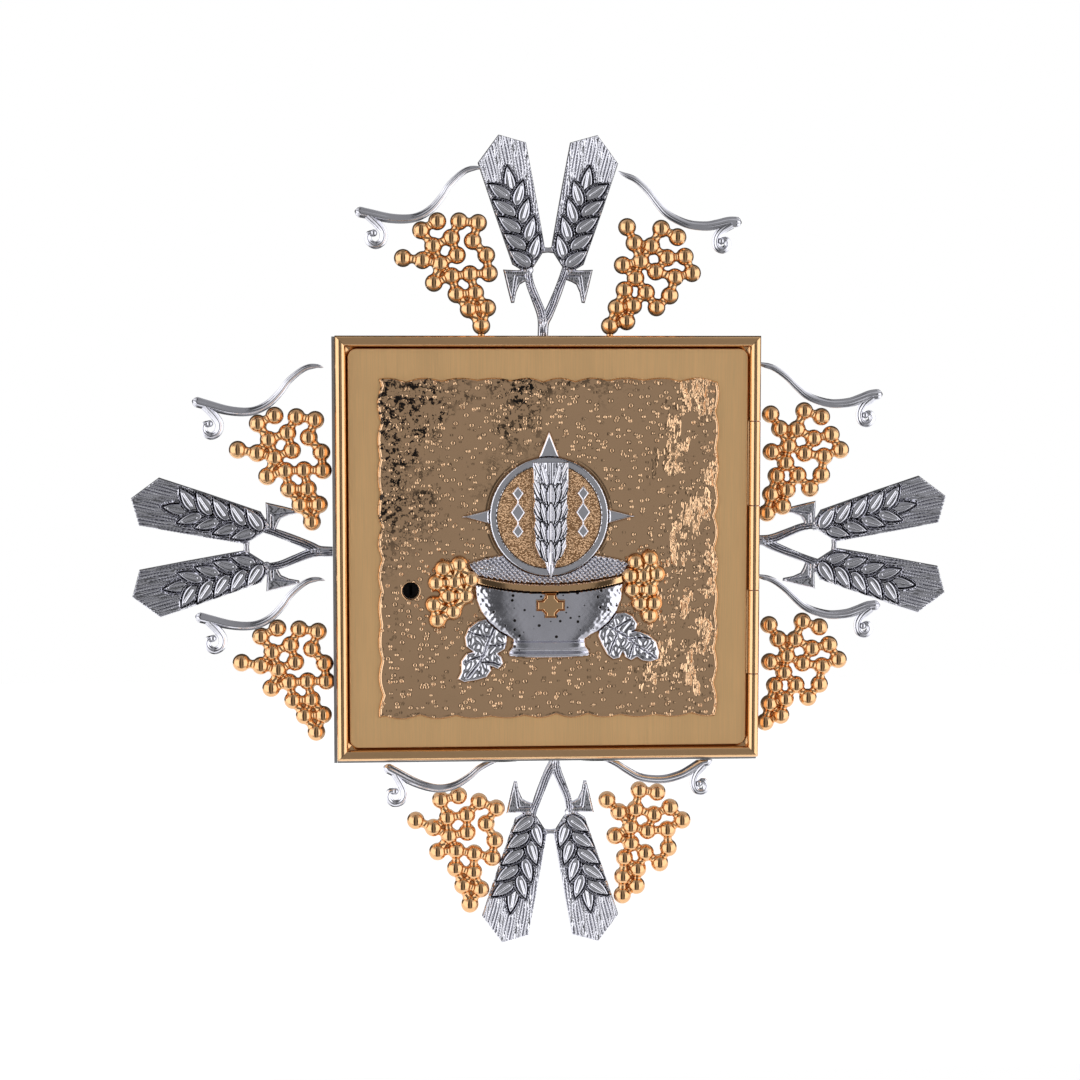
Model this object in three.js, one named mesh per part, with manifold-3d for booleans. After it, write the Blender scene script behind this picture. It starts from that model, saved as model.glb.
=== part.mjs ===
// Wall tabernacle: a square steel box with a brass frame and a hinged brass door that carries
// chalice, bread, wheat and vine reliefs, ringed by cast grape, tendril and wheat ornaments.
// Millimetres, +Z up, front faces -Y. Origin: centre of the frame, on the back panel's outer face.
import * as THREE from "three";
import { mergeVertices } from "three/addons/utils/BufferGeometryUtils.js";
import Module from "manifold-3d";

const wasm = await Module();
wasm.setup();

// ---------------------------------------------------------------- driving dimensions
const GAP = 0.3; // between pieces that touch
const SHEET = 2; // steel of the box
const BOX = { left: -152.3, right: 149.7, bottom: -152.6, top: 149.4, depth: 240 };
const LINING = { sheet: 1, depth: 222 };
const FIXING = { reach: 110, radius: 3 }; // four wall screws through the back

const FRAME = { half: 150, width: 18, flange: 3, bead: 3.85, foot: 6.4 };
const HINGE = { x: FRAME.half - FRAME.bead, y: -247.5, pin: 1.7, bore: 1.75 };
const KNUCKLE_JOINTS = [-90, -30, 30, 90]; // heights where the barrel is cut
const KNUCKLE_GAP = 0.5;

const DOOR = { half: 141, corner: 6.5, back: -243.9, thick: 3 };
const PLAQUE = { half: 120.5, thick: 1.2, scallops: 10, notch: 2.8 };
const KEYHOLE = { x: -97.5, z: -29.3, radius: 6 };

const HALO = { z: 23, outer: 42, inner: 36.6, thick: 2, disc: 0.6 };
const CHALICE = {
  rim: 53, waist: 28, foot: 28.7, rimZ: -24, waistZ: -63.8, baseZ: -77.2,
  sag: 6.5, squash: 0.19, band: 5.4,
};
const DOOR_BERRY = 5.9;

const LOCK = { left: -127, right: -80, bottom: -52, top: -10, depth: 19.6, wall: 1.5 };
const PINION = { pitch: 5, tooth: 1.1, teeth: 10, front: -238, back: -232 };
const DRUM = { radius: 14, front: -231.3, back: -224.9 }; // tumbler discs behind the pinion
const BOLT = { tip: -129.5, tail: -83, low: -22.9, high: -14.9, travel: 12 };

const ORNAMENT_Y = -236; // middle of the castings, just behind the frame
const BERRY = 6.4;
const NECK = 1.9;
// Size of the castings against the drawings of their patterns.
const CASTING = { grapes: 0.97, wheat: 0.975 };
const WHEAT = { thick: 4.4, mirrorX: 1.2, stemX: -2.5, stem: 7.4, tie: 2 };

// ---------------------------------------------------------------- materials
const metal = (color, roughness) =>
  new THREE.MeshStandardMaterial({ color, roughness, metalness: 1 });
const FINISH = {
  steel: metal(0xb9bcc2, 0.4),
  brushedGold: metal(0xc8a070, 0.35),
  gold: metal(0xd2a560, 0.2),
  silver: metal(0xa9a9b4, 0.25),
  darkSteel: metal(0x4a4a4e, 0.5),
};

// ---------------------------------------------------------------- solids and helpers
function solid(geometry) {
  const bare = geometry.clone();
  bare.deleteAttribute("normal");
  bare.deleteAttribute("uv");
  const merged = mergeVertices(bare, 1e-4);
  return new wasm.Manifold(
    new wasm.Mesh({
      numProp: 3,
      vertProperties: new Float32Array(merged.attributes.position.array),
      triVerts: new Uint32Array(merged.index.array),
    }),
  );
}

function geometryOf(manifold) {
  const mesh = manifold.getMesh();
  const geometry = new THREE.BufferGeometry();
  geometry.setAttribute("position", new THREE.BufferAttribute(mesh.vertProperties, 3));
  geometry.setIndex(new THREE.BufferAttribute(mesh.triVerts, 1));
  const flat = geometry.toNonIndexed();
  flat.computeVertexNormals();
  return flat;
}

const join = (solids) => solids.reduce((sum, next) => sum.add(next));
const cut = (from, tools) => tools.reduce((left, tool) => left.subtract(tool), from);

function addPiece(group, name, shape, finish) {
  const geometry = shape.isBufferGeometry ? shape : geometryOf(shape);
  const mesh = new THREE.Mesh(geometry, finish);
  mesh.name = name;
  group.add(mesh);
  return mesh;
}

// A box between two corners.
function block(low, high) {
  const size = high.map((value, i) => value - low[i]);
  const middle = high.map((value, i) => (value + low[i]) / 2);
  return solid(new THREE.BoxGeometry(...size).translate(...middle));
}

// A flat shape drawn in X and Z, its back face at y = back, growing towards the front.
function plate(shape, back, thick, curveSegments = 8) {
  const options = { depth: thick, bevelEnabled: false, curveSegments };
  const geometry = new THREE.ExtrudeGeometry(shape, options);
  return solid(geometry.rotateX(Math.PI / 2).translate(0, back, 0));
}

// A closed shape through points [x, z], always drawn anticlockwise.
function outline(points) {
  const corners = points.map(([x, z]) => new THREE.Vector2(x, z));
  return new THREE.Shape(THREE.ShapeUtils.isClockWise(corners) ? corners.reverse() : corners);
}

const mirrored = (points, x = 0) => points.map(([u, v]) => [2 * x - u, v]).reverse();

function roundRect(half, radius) {
  const inner = half - radius;
  const shape = new THREE.Shape();
  shape.absarc(inner, inner, radius, 0, Math.PI / 2);
  shape.absarc(-inner, inner, radius, Math.PI / 2, Math.PI);
  shape.absarc(-inner, -inner, radius, Math.PI, 1.5 * Math.PI);
  shape.absarc(inner, -inner, radius, 1.5 * Math.PI, 2 * Math.PI);
  return shape;
}

function circle(x, z, radius) {
  const path = new THREE.Path();
  path.absarc(x, z, radius, 0, 2 * Math.PI, true);
  return path;
}

// A round bar along Y or Z.
function barY(x, z, radius, from, to, sides = 16) {
  const length = Math.abs(to - from);
  const geometry = new THREE.CylinderGeometry(radius, radius, length, sides);
  return solid(geometry.translate(x, (from + to) / 2, z));
}

function barZ(x, y, radius, from, to, sides = 16) {
  const geometry = new THREE.CylinderGeometry(radius, radius, to - from, sides);
  return solid(geometry.rotateX(Math.PI / 2).translate(x, y, (from + to) / 2));
}

// A three-sided link between two points [x, z] in the plane y.
function link(a, b, y, radius) {
  const length = Math.hypot(b[0] - a[0], b[1] - a[1]);
  const turn = Math.atan2(b[1] - a[1], b[0] - a[0]);
  const geometry = new THREE.CylinderGeometry(radius, radius, length, 3, 1);
  geometry.rotateZ(Math.PI / 2).rotateY(-turn);
  return solid(geometry.translate((a[0] + b[0]) / 2, y, (a[1] + b[1]) / 2));
}

// Round berries at [x, z], each joined to its nearest neighbour that is already in the bunch.
function bunch(points, radius, y) {
  const berry = ([x, z]) => solid(new THREE.IcosahedronGeometry(radius).translate(x, y, z));
  const distance = (a, b) => Math.hypot(a[0] - b[0], a[1] - b[1]);
  const pieces = points.map(berry);
  const linked = [points[0]];
  const loose = points.slice(1);
  while (loose.length) {
    let best = null;
    for (const a of linked)
      for (const b of loose)
        if (!best || distance(a, b) < best.length) best = { a, b, length: distance(a, b) };
    pieces.push(link(best.a, best.b, y, NECK));
    linked.push(best.b);
    loose.splice(loose.indexOf(best.b), 1);
  }
  return join(pieces);
}

// A five-sided bar through points [x, z], its half-width going from one value to another.
function taperedBar(points, y, fromHalf, toHalf, steps) {
  const path = new THREE.CatmullRomCurve3(points.map(([x, z]) => new THREE.Vector3(x, y, z)));
  const section = new THREE.Shape(
    [0, 1, 2, 3, 4].map((i) => {
      const angle = (i * 2 * Math.PI) / 5;
      return new THREE.Vector2(Math.cos(angle), Math.sin(angle));
    }),
  );
  const geometry = new THREE.ExtrudeGeometry(section, { steps, extrudePath: path });
  const position = geometry.attributes.position;
  const centres = path.getSpacedPoints(steps);
  const vertex = new THREE.Vector3();
  for (let i = 0; i < position.count; i++) {
    vertex.fromBufferAttribute(position, i);
    const nearest = centres.reduce((best, centre, k) =>
      centre.distanceTo(vertex) < centres[best].distanceTo(vertex) ? k : best, 0);
    const half = fromHalf + ((toHalf - fromHalf) * nearest) / steps;
    vertex.sub(centres[nearest]).multiplyScalar(half).add(centres[nearest]);
    position.setXYZ(i, vertex.x, vertex.y, vertex.z);
  }
  return solid(geometry);
}

const part = new THREE.Group();
const cabinet = new THREE.Group();
const door = new THREE.Group();
part.add(cabinet, door);

// ---------------------------------------------------------------- steel box
function buildBox() {
  const { left, right, bottom, top, depth } = BOX;
  const front = -depth;
  const back = -SHEET - GAP;
  const holes = [-1, 1].flatMap((sx) => [-1, 1].map((sz) => [sx * FIXING.reach, sz * FIXING.reach]));
  const drills = holes.map(([x, z]) => barY(x, z, FIXING.radius, 1, -SHEET - 2, 8));
  const panel = cut(block([left, -SHEET, bottom], [right, 0, top]), drills);
  addPiece(cabinet, "back_panel", panel, FINISH.steel);
  addPiece(cabinet, "left_wall", block([left, front, bottom], [left + SHEET, back, top]), FINISH.steel);
  addPiece(cabinet, "right_wall", block([right - SHEET, front, bottom], [right, back, top]), FINISH.steel);
  const inLeft = left + SHEET + GAP;
  const inRight = right - SHEET - GAP;
  addPiece(cabinet, "top_wall", block([inLeft, front, top - SHEET], [inRight, back, top]), FINISH.steel);
  addPiece(
    cabinet, "bottom_wall", block([inLeft, front, bottom], [inRight, back, bottom + SHEET]), FINISH.steel,
  );

  const inTop = top - SHEET - GAP;
  const inBottom = bottom + SHEET + GAP;
  const { sheet } = LINING;
  const outer = block([inLeft, -LINING.depth, inBottom], [inRight, back, inTop]);
  const hollow = block(
    [inLeft + sheet, -LINING.depth - 1, inBottom + sheet],
    [inRight - sheet, back - sheet, inTop - sheet],
  );
  addPiece(cabinet, "inner_lining", cut(outer, [hollow, ...drills]), FINISH.gold);
}

// ---------------------------------------------------------------- frame and hinge
// Section of a frame rail: u is the distance from the middle of the door, v is depth.
function railSection() {
  const { half, width, flange, bead, foot } = FRAME;
  const back = -BOX.depth - GAP;
  const step = back - flange;
  const shape = new THREE.Shape();
  shape.moveTo(half - width, back);
  shape.lineTo(half - width, step);
  shape.lineTo(half - foot, step);
  shape.lineTo(HINGE.x - bead * Math.cos(0.5), HINGE.y + bead * Math.sin(0.5));
  for (let i = 0; i <= 8; i++) {
    const turn = Math.PI + (i * Math.PI) / 8;
    shape.lineTo(HINGE.x + bead * Math.cos(turn), HINGE.y + bead * Math.sin(turn));
  }
  shape.lineTo(half, back);
  return shape;
}

// A rail along Z on the +X side, its ends mitred at 45 degrees.
function mitredRail() {
  const options = { depth: 2, bevelEnabled: false };
  const geometry = new THREE.ExtrudeGeometry(railSection(), options).translate(0, 0, -1);
  const position = geometry.attributes.position;
  const half = GAP / 2;
  for (let i = 0; i < position.count; i++)
    position.setZ(i, Math.sign(position.getZ(i)) * (position.getX(i) - half));
  return geometry;
}

function buildFrame() {
  const turns = { frame_top_rail: -Math.PI / 2, frame_left_stile: Math.PI, frame_bottom_rail: Math.PI / 2 };
  for (const [name, turn] of Object.entries(turns)) {
    const rail = addPiece(cabinet, name, geometryOf(solid(mitredRail())), FINISH.gold);
    rail.rotation.y = turn;
  }
  const [low, lowMid, highMid, high] = KNUCKLE_JOINTS;
  const step = -BOX.depth - GAP - FRAME.flange - 0.01;
  const window = (from, to) =>
    block(
      [FRAME.half - FRAME.width, -260, from - KNUCKLE_GAP / 2],
      [FRAME.half + 1, step, to + KNUCKLE_GAP / 2],
    );
  const bore = barZ(HINGE.x, HINGE.y, HINGE.bore, low - 52, high + 52);
  const stile = cut(solid(mitredRail()), [window(low, lowMid), window(highMid, high), bore]);
  addPiece(cabinet, "frame_hinge_stile", stile, FINISH.gold);
  const pin = barZ(HINGE.x, HINGE.y, HINGE.pin, low - 50, high + 50);
  addPiece(cabinet, "hinge_pin", pin, FINISH.steel);
}

function buildDoorKnuckles() {
  const [low, lowMid, highMid, high] = KNUCKLE_JOINTS;
  const spans = { door_knuckle_lower: [low, lowMid], door_knuckle_upper: [highMid, high] };
  for (const [name, [from, to]] of Object.entries(spans)) {
    const bottom = from + KNUCKLE_GAP / 2;
    const top = to - KNUCKLE_GAP / 2;
    const barrel = barZ(HINGE.x, HINGE.y, FRAME.bead, bottom, top);
    const leaf = block(
      [DOOR.half + GAP, DOOR.back - DOOR.thick, bottom],
      [HINGE.x - HINGE.bore - 0.6, DOOR.back - 0.4, top],
    );
    const bore = barZ(HINGE.x, HINGE.y, HINGE.bore, from - 1, to + 1);
    addPiece(door, name, cut(join([barrel, leaf]), [bore]), FINISH.gold);
  }
}

// ---------------------------------------------------------------- door plates
// A square whose sides are rows of shallow outward scallops meeting in small notches.
function scallopedSquare(half, count, notch) {
  const pitch = (2 * half) / count;
  const side = [];
  for (let i = 0; i < count; i++) {
    const start = -half + i * pitch;
    const corner = i === 0 ? half - notch * 0.6 : half - notch;
    side.push([start + (i === 0 ? notch * 0.6 : 0), corner]);
    side.push([start + pitch * 0.25, half - notch * 0.25]);
    side.push([start + pitch * 0.5, half]);
    side.push([start + pitch * 0.75, half - notch * 0.25]);
  }
  const turned = (points) => points.map(([x, z]) => [z, -x]);
  const right = turned(side);
  const low = turned(right);
  return outline([...side, ...right, ...low, ...turned(low)]);
}

const plaqueFront = DOOR.back - DOOR.thick - GAP - PLAQUE.thick;
const reliefBack = plaqueFront - GAP;

function buildDoorPlates() {
  const panel = roundRect(DOOR.half, DOOR.corner);
  panel.holes.push(circle(KEYHOLE.x, KEYHOLE.z, KEYHOLE.radius));
  addPiece(door, "door_plate", plate(panel, DOOR.back, DOOR.thick, 5), FINISH.brushedGold);
  const plaque = scallopedSquare(PLAQUE.half, PLAQUE.scallops, PLAQUE.notch);
  plaque.holes.push(circle(KEYHOLE.x, KEYHOLE.z, KEYHOLE.radius));
  addPiece(door, "door_plaque", plate(plaque, DOOR.back - DOOR.thick - GAP, PLAQUE.thick, 5), FINISH.gold);
}

// ---------------------------------------------------------------- host halo
function buildHalo() {
  const { z, outer, inner, thick, disc } = HALO;
  const around = new THREE.Shape();
  around.absarc(0, z, outer, 0, 2 * Math.PI);
  around.holes.push(circle(0, z, inner));
  const ring = plate(around, reliefBack, thick, 20);
  addPiece(door, "halo_ring", cut(ring, [chaliceRoom()]), FINISH.silver);

  const face = new THREE.Shape();
  face.absarc(0, z, inner - GAP, 0, 2 * Math.PI);
  addPiece(door, "halo_disc", cut(plate(face, reliefBack, disc, 20), [chaliceRoom()]), FINISH.gold);

  const reach = outer + GAP;
  const edge = (across) => Math.sqrt(reach ** 2 - across ** 2);
  const ray = (width, tip) => outline([
    [-width / 2, edge(width / 2)], [0, reach], [width / 2, edge(width / 2)], [0, tip],
  ]);
  const rays = {
    ray_top: [14.6, 60.3, 0],
    ray_left: [10, 61.7, Math.PI / 2],
    ray_right: [10, 61, -Math.PI / 2],
  };
  for (const [name, [width, tip, turn]] of Object.entries(rays)) {
    const spike = addPiece(door, name, geometryOf(plate(ray(width, tip), reliefBack, 1.6)), FINISH.silver);
    spike.rotation.y = -turn;
    spike.position.z = z;
  }

  // A drop of three lozenges on a stem at each side of the ear.
  const drop = [
    [0, 45], [4.5, 39.5], [1, 34.5], [1, 32.5], [5.5, 26], [1, 19.5], [1, 17.5], [4.5, 12.5], [0, 7],
  ];
  const lozenges = [...drop, ...mirrored(drop.slice(1, -1))];
  const discFront = reliefBack - disc - GAP;
  for (const [name, x] of [["halo_drop_left", -22], ["halo_drop_right", 24]]) {
    const piece = addPiece(door, name, geometryOf(plate(outline(lozenges), discFront, 1.8)), FINISH.silver);
    piece.position.x = x;
  }
}

// ---------------------------------------------------------------- wheat ear on the door
function buildDoorEar() {
  const side = [
    [0, -22], [3, -14], [4, -9], [10, -3], [12, 6], [9.5, 9], [12.5, 18], [10, 22],
    [12.8, 31], [10.5, 35], [12.8, 46], [12.6, 61],
  ];
  const shape = outline([...side, [5, 62.5], [-5, 62.5], ...mirrored(side.slice(1))]);
  const back = reliefBack - HALO.thick - GAP;
  const body = plate(shape, back, 2);
  const grain = (x, z, lean) => {
    const geometry = new THREE.OctahedronGeometry(1).scale(4, 2.4, 8).rotateY(lean);
    return solid(geometry.translate(x, back - 1.6, z));
  };
  const grains = [-3, 10.4, 23.8, 37.2].flatMap((z) => [
    grain(0, z, 0),
    grain(-7.5, z + 5, -0.35),
    grain(7.5, z + 5, 0.35),
  ]);
  const studs = [12, 40].map((z) => barY(0, z, 2, back - 1, reliefBack - HALO.disc - GAP, 8));
  const ear = addPiece(door, "door_wheat_ear", join([body, ...grains, ...studs]), FINISH.silver);
  ear.position.x = 1;
}

// ---------------------------------------------------------------- chalice and bread
const rimSag = (x) => CHALICE.sag * (1 - (x / CHALICE.rim) ** 2);
const bulge = (x) => CHALICE.squash * Math.sqrt(Math.max(CHALICE.rim ** 2 - x * x, 0));

// Room for the chalice in front of the plaque, cut from what would lie behind it.
function chaliceRoom() {
  return block([-60, reliefBack - 20, -90], [60, reliefBack + 1, CHALICE.rimZ + CHALICE.band - 1.2]);
}

function buildChalice() {
  const { rim, waist, foot, rimZ, waistZ, baseZ, squash, band } = CHALICE;
  const profile = [
    [0, baseZ], [foot, baseZ], [foot, baseZ + 5], [foot - 2.5, baseZ + 7], [waist - 2.5, waistZ],
    [waist + 9, waistZ + 6], [rim - 10, waistZ + 17], [rim - 3, rimZ - 12], [rim, rimZ], [0, rimZ],
  ].map(([r, z]) => new THREE.Vector2(r, z));
  const turned = new THREE.LatheGeometry(profile, 28).rotateX(Math.PI / 2).scale(1, squash, 1);
  turned.translate(0, reliefBack, 0);
  const position = turned.attributes.position;
  for (let i = 0; i < position.count; i++) {
    const fade = THREE.MathUtils.smoothstep(position.getZ(i), waistZ, rimZ);
    position.setZ(i, position.getZ(i) - fade * rimSag(position.getX(i)));
  }
  const frontHalf = block([-60, reliefBack - 20, -90], [60, reliefBack, 0]);
  const bowl = solid(turned).intersect(frontHalf);
  // Rim band: a flat strip bent along the front of the bowl's edge.
  const edge = (lift) => {
    const points = [];
    for (let i = 0; i <= 12; i++) {
      const x = -(rim - 0.6) * Math.cos((i * Math.PI) / 12);
      points.push([x, rimZ + lift - rimSag(x)]);
    }
    return points;
  };
  const strip = plate(outline([...edge(GAP + band), ...edge(GAP).reverse()]), reliefBack, 14);
  const lid = plate(outline([[-60, rimZ], ...edge(0), [60, rimZ], [60, 0], [-60, 0]]), reliefBack + 1, 30);
  const crossPocket = plate(crossShape(GAP), reliefBack - 7.6, 6);
  addPiece(door, "chalice_bowl", cut(bowl, [crossPocket, lid]), FINISH.silver);
  addPiece(door, "chalice_cross", plate(crossShape(0), reliefBack - 7.6 - GAP, 3.6), FINISH.gold);
  const shell = (grow) =>
    solid(
      new THREE.CylinderGeometry(rim + grow, rim + grow, 40, 28)
        .rotateX(Math.PI / 2)
        .scale(1, squash, 1)
        .translate(0, reliefBack, rimZ),
    );
  const ring = shell(1.4).subtract(shell(-8));
  addPiece(door, "chalice_rim", strip.intersect(ring), FINISH.gold);

  // Bread heaped behind the rim.
  const over = rimZ + GAP * 2 + band;
  const lowEdge = [-50, -30, 0, 30, 50].map((x) => [x, over - rimSag(x)]);
  const heap = [[56, -10], [44, -6], [33, -4.5], [-32, -4], [-44, -6], [-57, -10]];
  const bread = cut(plate(outline([...lowEdge, ...heap]), reliefBack, HALO.thick), [haloRoom()]);
  addPiece(door, "bread", bread, FINISH.silver);
}

// The ring and disc lie lower than the bread's top edge, so the bread is cut round them.
function haloRoom() {
  return barY(0, HALO.z, HALO.outer + GAP, reliefBack + 1, reliefBack - 10, 80);
}

function crossShape(grow) {
  const { arm, half, high } = { arm: 3.5, half: 10.3, high: 9 };
  const a = arm + grow;
  const w = half + grow;
  const h = high + grow;
  const centre = [0.6, -39.2];
  const quarter = [[w, a], [a + 1.5, a], [a, a + 1.5], [a, h]];
  const left = mirrored(quarter);
  const points = [...quarter, ...left, ...left.map(([x, z]) => [x, -z]).reverse(),
    ...quarter.map(([x, z]) => [x, -z]).reverse()];
  return outline(points.map(([x, z]) => [x + centre[0], z + centre[1]]));
}

// ---------------------------------------------------------------- vine on the door
const LEFT_DOOR_BERRIES = [
  [-63.3, -10.7], [-74.5, -13.5], [-79.4, -23.5], [-66.6, -22.9], [-55.2, -21.1],
  [-71.1, -32.7], [-58.9, -32.7], [-81.3, -38.8], [-67.8, -43.7], [-78.8, -49.8],
];
const RIGHT_DOOR_BERRIES = [
  [61.4, -9.5], [71.4, -7], [57.4, -19.2], [67.1, -19.2], [76.3, -18],
  [59.2, -29], [71.4, -29], [64.7, -38.8], [74.4, -38.8], [71.4, -47.4],
];
const LEFT_LEAF = [
  [-44, -49], [-57, -55], [-59, -70], [-54, -73], [-62, -77], [-62, -88], [-64, -93], [-54, -94],
  [-44, -92], [-38, -85], [-32, -82], [-33, -72], [-30, -66], [-29.5, -59], [-38, -53],
];
const RIGHT_LEAF = [
  [47.6, -45.6], [58.6, -46.8], [63.4, -54], [59, -58], [68, -58], [77, -66], [78.7, -78.5],
  [67, -80], [56, -79], [52.5, -72], [47.6, -78.5], [41.5, -76], [38, -70], [35, -62.6],
  [33, -56.5], [39, -53],
];

function buildVine() {
  const berryY = reliefBack - DOOR_BERRY * 0.35;
  const behind = block([-100, reliefBack, -120], [100, reliefBack + 20, 20]);
  const chalice = new THREE.Shape();
  const { rim, waist, foot, rimZ, waistZ, baseZ } = CHALICE;
  chalice.moveTo(0, rimZ + 6);
  [[rim + 2.2, rimZ + 7], [rim + 2.2, rimZ - 6], [rim - 1, rimZ - 16], [rim - 8, waistZ + 13],
    [waist + 10, waistZ + 4], [waist + 2.2, waistZ - 1], [foot + 1, baseZ - 1], [0, baseZ - 1]]
    .forEach(([x, z]) => chalice.lineTo(x, z));
  const half = plate(chalice, reliefBack + 2, 24);
  const room = join([half, half.mirror([1, 0, 0])]);
  const bread = plate(outline([[-58, -9.4], [58, -9.4], [54, -27], [-54, -27]]), reliefBack + 2, 24);
  const vines = { left: [LEFT_DOOR_BERRIES, LEFT_LEAF], right: [RIGHT_DOOR_BERRIES, RIGHT_LEAF] };
  for (const [side, [berries, leaf]] of Object.entries(vines)) {
    const grapes = bunch(berries, DOOR_BERRY, berryY);
    addPiece(door, "door_grapes_" + side, largest(cut(grapes, [behind, room, bread])), FINISH.gold);
    const blade = plate(outline(leaf), reliefBack, 2.6);
    addPiece(door, "vine_leaf_" + side, cut(blade, [room]), FINISH.silver);
  }
}

// The biggest body of a solid, without crumbs left by a cut.
function largest(manifold) {
  return manifold.decompose().sort((a, b) => b.volume() - a.volume())[0];
}

// ---------------------------------------------------------------- lock
function gearShape(centreX, centreZ) {
  const { pitch, tooth, teeth } = PINION;
  const points = [];
  const turn = (2 * Math.PI) / teeth;
  for (let i = 0; i < teeth; i++) {
    const at = Math.PI / 2 + (i + 0.5) * turn;
    for (const [radius, share] of [
      [pitch - tooth, -0.3], [pitch + tooth, -0.12], [pitch + tooth, 0.12], [pitch - tooth, 0.3],
    ]) {
      const angle = at + share * turn;
      points.push([centreX + radius * Math.cos(angle), centreZ + radius * Math.sin(angle)]);
    }
  }
  return outline(points);
}

function buildLock() {
  const { left, right, bottom, top, depth, wall } = LOCK;
  const front = DOOR.back + GAP;
  const back = front + depth;
  const shell = cut(block([left, front, bottom], [right, back, top]), [
    block([left + wall, front + wall, bottom + wall], [right - wall, back + 1, top - wall]),
    barY(KEYHOLE.x, KEYHOLE.z, 5.8, front - 1, front + wall + 1),
    block(
      [left - 1, PINION.front - 0.4, BOLT.low - 0.4],
      [left + wall + 1, PINION.back + 0.4, BOLT.high + 0.4],
    ),
  ]);
  const posts = [[-119, -46], [-86, -46]];
  const postBars = posts.map(([x, z]) => barY(x, z, 3.4, front + 0.5, back, 12));
  const drills = posts.map(([x, z]) => barY(x, z, 1.6, back - 9, back + 4, 12));
  addPiece(door, "lock_case", cut(join([shell, ...postBars]), drills), FINISH.steel);

  const lid = block([left, back + GAP, bottom], [right, back + GAP + wall, top]);
  const journal = barY(KEYHOLE.x, KEYHOLE.z, 3.2, back - 2, back + 4);
  addPiece(door, "lock_cover", cut(lid, [...drills, journal]), FINISH.steel);
  posts.forEach(([x, z], i) => {
    const seat = back + GAP + wall + GAP;
    const screw = join([barY(x, z, 1.3, back - 8, seat + 0.5, 12), barY(x, z, 2.7, seat, seat + 1.6, 12)]);
    addPiece(door, "lock_screw_" + (i + 1), screw, FINISH.steel);
  });

  // The lock cylinder: a boss with a key slot, a pinion, tumbler discs, and a journal in the cover.
  const { x, z } = KEYHOLE;
  const boss = barY(0, 0, 5.5, front + 1.4, PINION.front);
  const wheel = plate(gearShape(0, 0), PINION.back, PINION.back - PINION.front + 0.01);
  const drum = barY(0, 0, DRUM.radius, DRUM.front, DRUM.back, 32);
  const tail = barY(0, 0, 3, PINION.back - 0.5, back + GAP + wall);
  const slot = block([-1, front, -3.6], [1, front + 6, 3.6]);
  const turning = cut(join([boss, wheel, drum, tail]), [slot]);
  const cylinder = addPiece(door, "lock_cylinder", turning, FINISH.darkSteel);
  cylinder.position.set(x, 0, z);

  // The bolt: a bar with rack teeth below it that mesh with the pinion.
  const pitchLine = KEYHOLE.z + PINION.pitch;
  const toothPitch = (2 * Math.PI * PINION.pitch) / PINION.teeth;
  const low = BOLT.low;
  const rack = [[BOLT.tip, BOLT.high], [BOLT.tip, low]];
  for (let i = -1; i <= 4; i++) {
    const middle = x + i * toothPitch;
    const root = toothPitch * 0.3;
    const crest = toothPitch * 0.12;
    rack.push([middle - root, low], [middle - crest, pitchLine - PINION.tooth]);
    rack.push([middle + crest, pitchLine - PINION.tooth], [middle + root, low]);
  }
  rack.push([BOLT.tail, low], [BOLT.tail, BOLT.high]);
  const bar = plate(outline(rack.reverse()), PINION.back, PINION.back - PINION.front);
  addPiece(door, "lock_bolt", bar, FINISH.steel);

  // The keeper on the box, behind the frame flange.
  const keeperFront = -BOX.depth;
  const keeperLeft = BOX.left + SHEET + GAP;
  const keeper = cut(block([keeperLeft, keeperFront, -33], [-133.5, -227, -6]), [
    block(
      [BOLT.tip - BOLT.travel - 1, PINION.front - 0.5, BOLT.low - 0.5],
      [-130, PINION.back + 0.5, BOLT.high + 0.5],
    ),
  ]);
  addPiece(cabinet, "bolt_keeper", keeper, FINISH.steel);
}

// ---------------------------------------------------------------- cast ornaments
// Each unit is a bunch and its tendril, drawn from the bunch's lowest berry at [0, 0].
const LEFT_UNIT = {
  berries: [
    [0, 0], [-9.1, 11.9], [4.3, 13], [-18, 22.8], [-4.4, 23.9], [-34.3, 31], [-21.3, 35.8],
    [-8.1, 37.3], [5.6, 38], [-56.6, 48.8], [-42.5, 47.3], [-29.6, 44.9], [-17.6, 51], [3.7, 51],
    [-34.7, 57.5], [-21.7, 63.4], [-6.1, 61.2], [-43.4, 68.8], [-31.7, 75.3], [-15.9, 75.3],
    [-2.2, 74.2],
  ],
  tendril: [
    [1.5, 112.5], [-4, 113.2], [-12.6, 110.5], [-22.6, 101.5], [-28.6, 92.5], [-36.1, 83.9],
    [-44.6, 78.6], [-53.6, 76.6], [-65.6, 77], [-78.6, 79.5], [-91.1, 82.1],
  ],
  curl: [
    [-81.6, 79.2], [-74.5, 72.5], [-70.6, 66.8], [-71.4, 60.6], [-76.2, 57.6], [-81, 60.3],
    [-81.3, 65],
  ],
};
const RIGHT_UNIT = {
  berries: [
    [0, 0], [12.2, 3.3], [4.8, 13.2], [17.1, 14.8], [34.1, 13.5], [10.6, 26], [26.5, 24.3],
    [43.8, 22.1], [18.7, 34.7], [33.4, 39.5], [47.5, 35.4], [60.1, 38.4], [9.3, 44.1],
    [22.4, 46.7], [41.7, 49.5], [54.7, 50.4], [30.2, 57.9], [17.8, 60.1], [49.3, 64.5],
    [37.3, 70.5], [12.4, 71.6],
  ],
  tendril: [
    [8.7, 109.2], [18.2, 105], [26.8, 97.2], [33.6, 88.6], [39.7, 81.8], [47.4, 77],
    [57.7, 73.2], [69.7, 72.2], [78.2, 73.5], [86.9, 75.3], [95.5, 74.8],
  ],
  curl: [
    [88, 73.6], [81, 69.2], [77, 63.4], [77.4, 57.2], [81.9, 55], [85.4, 58.2], [83.8, 62],
  ],
};
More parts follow.
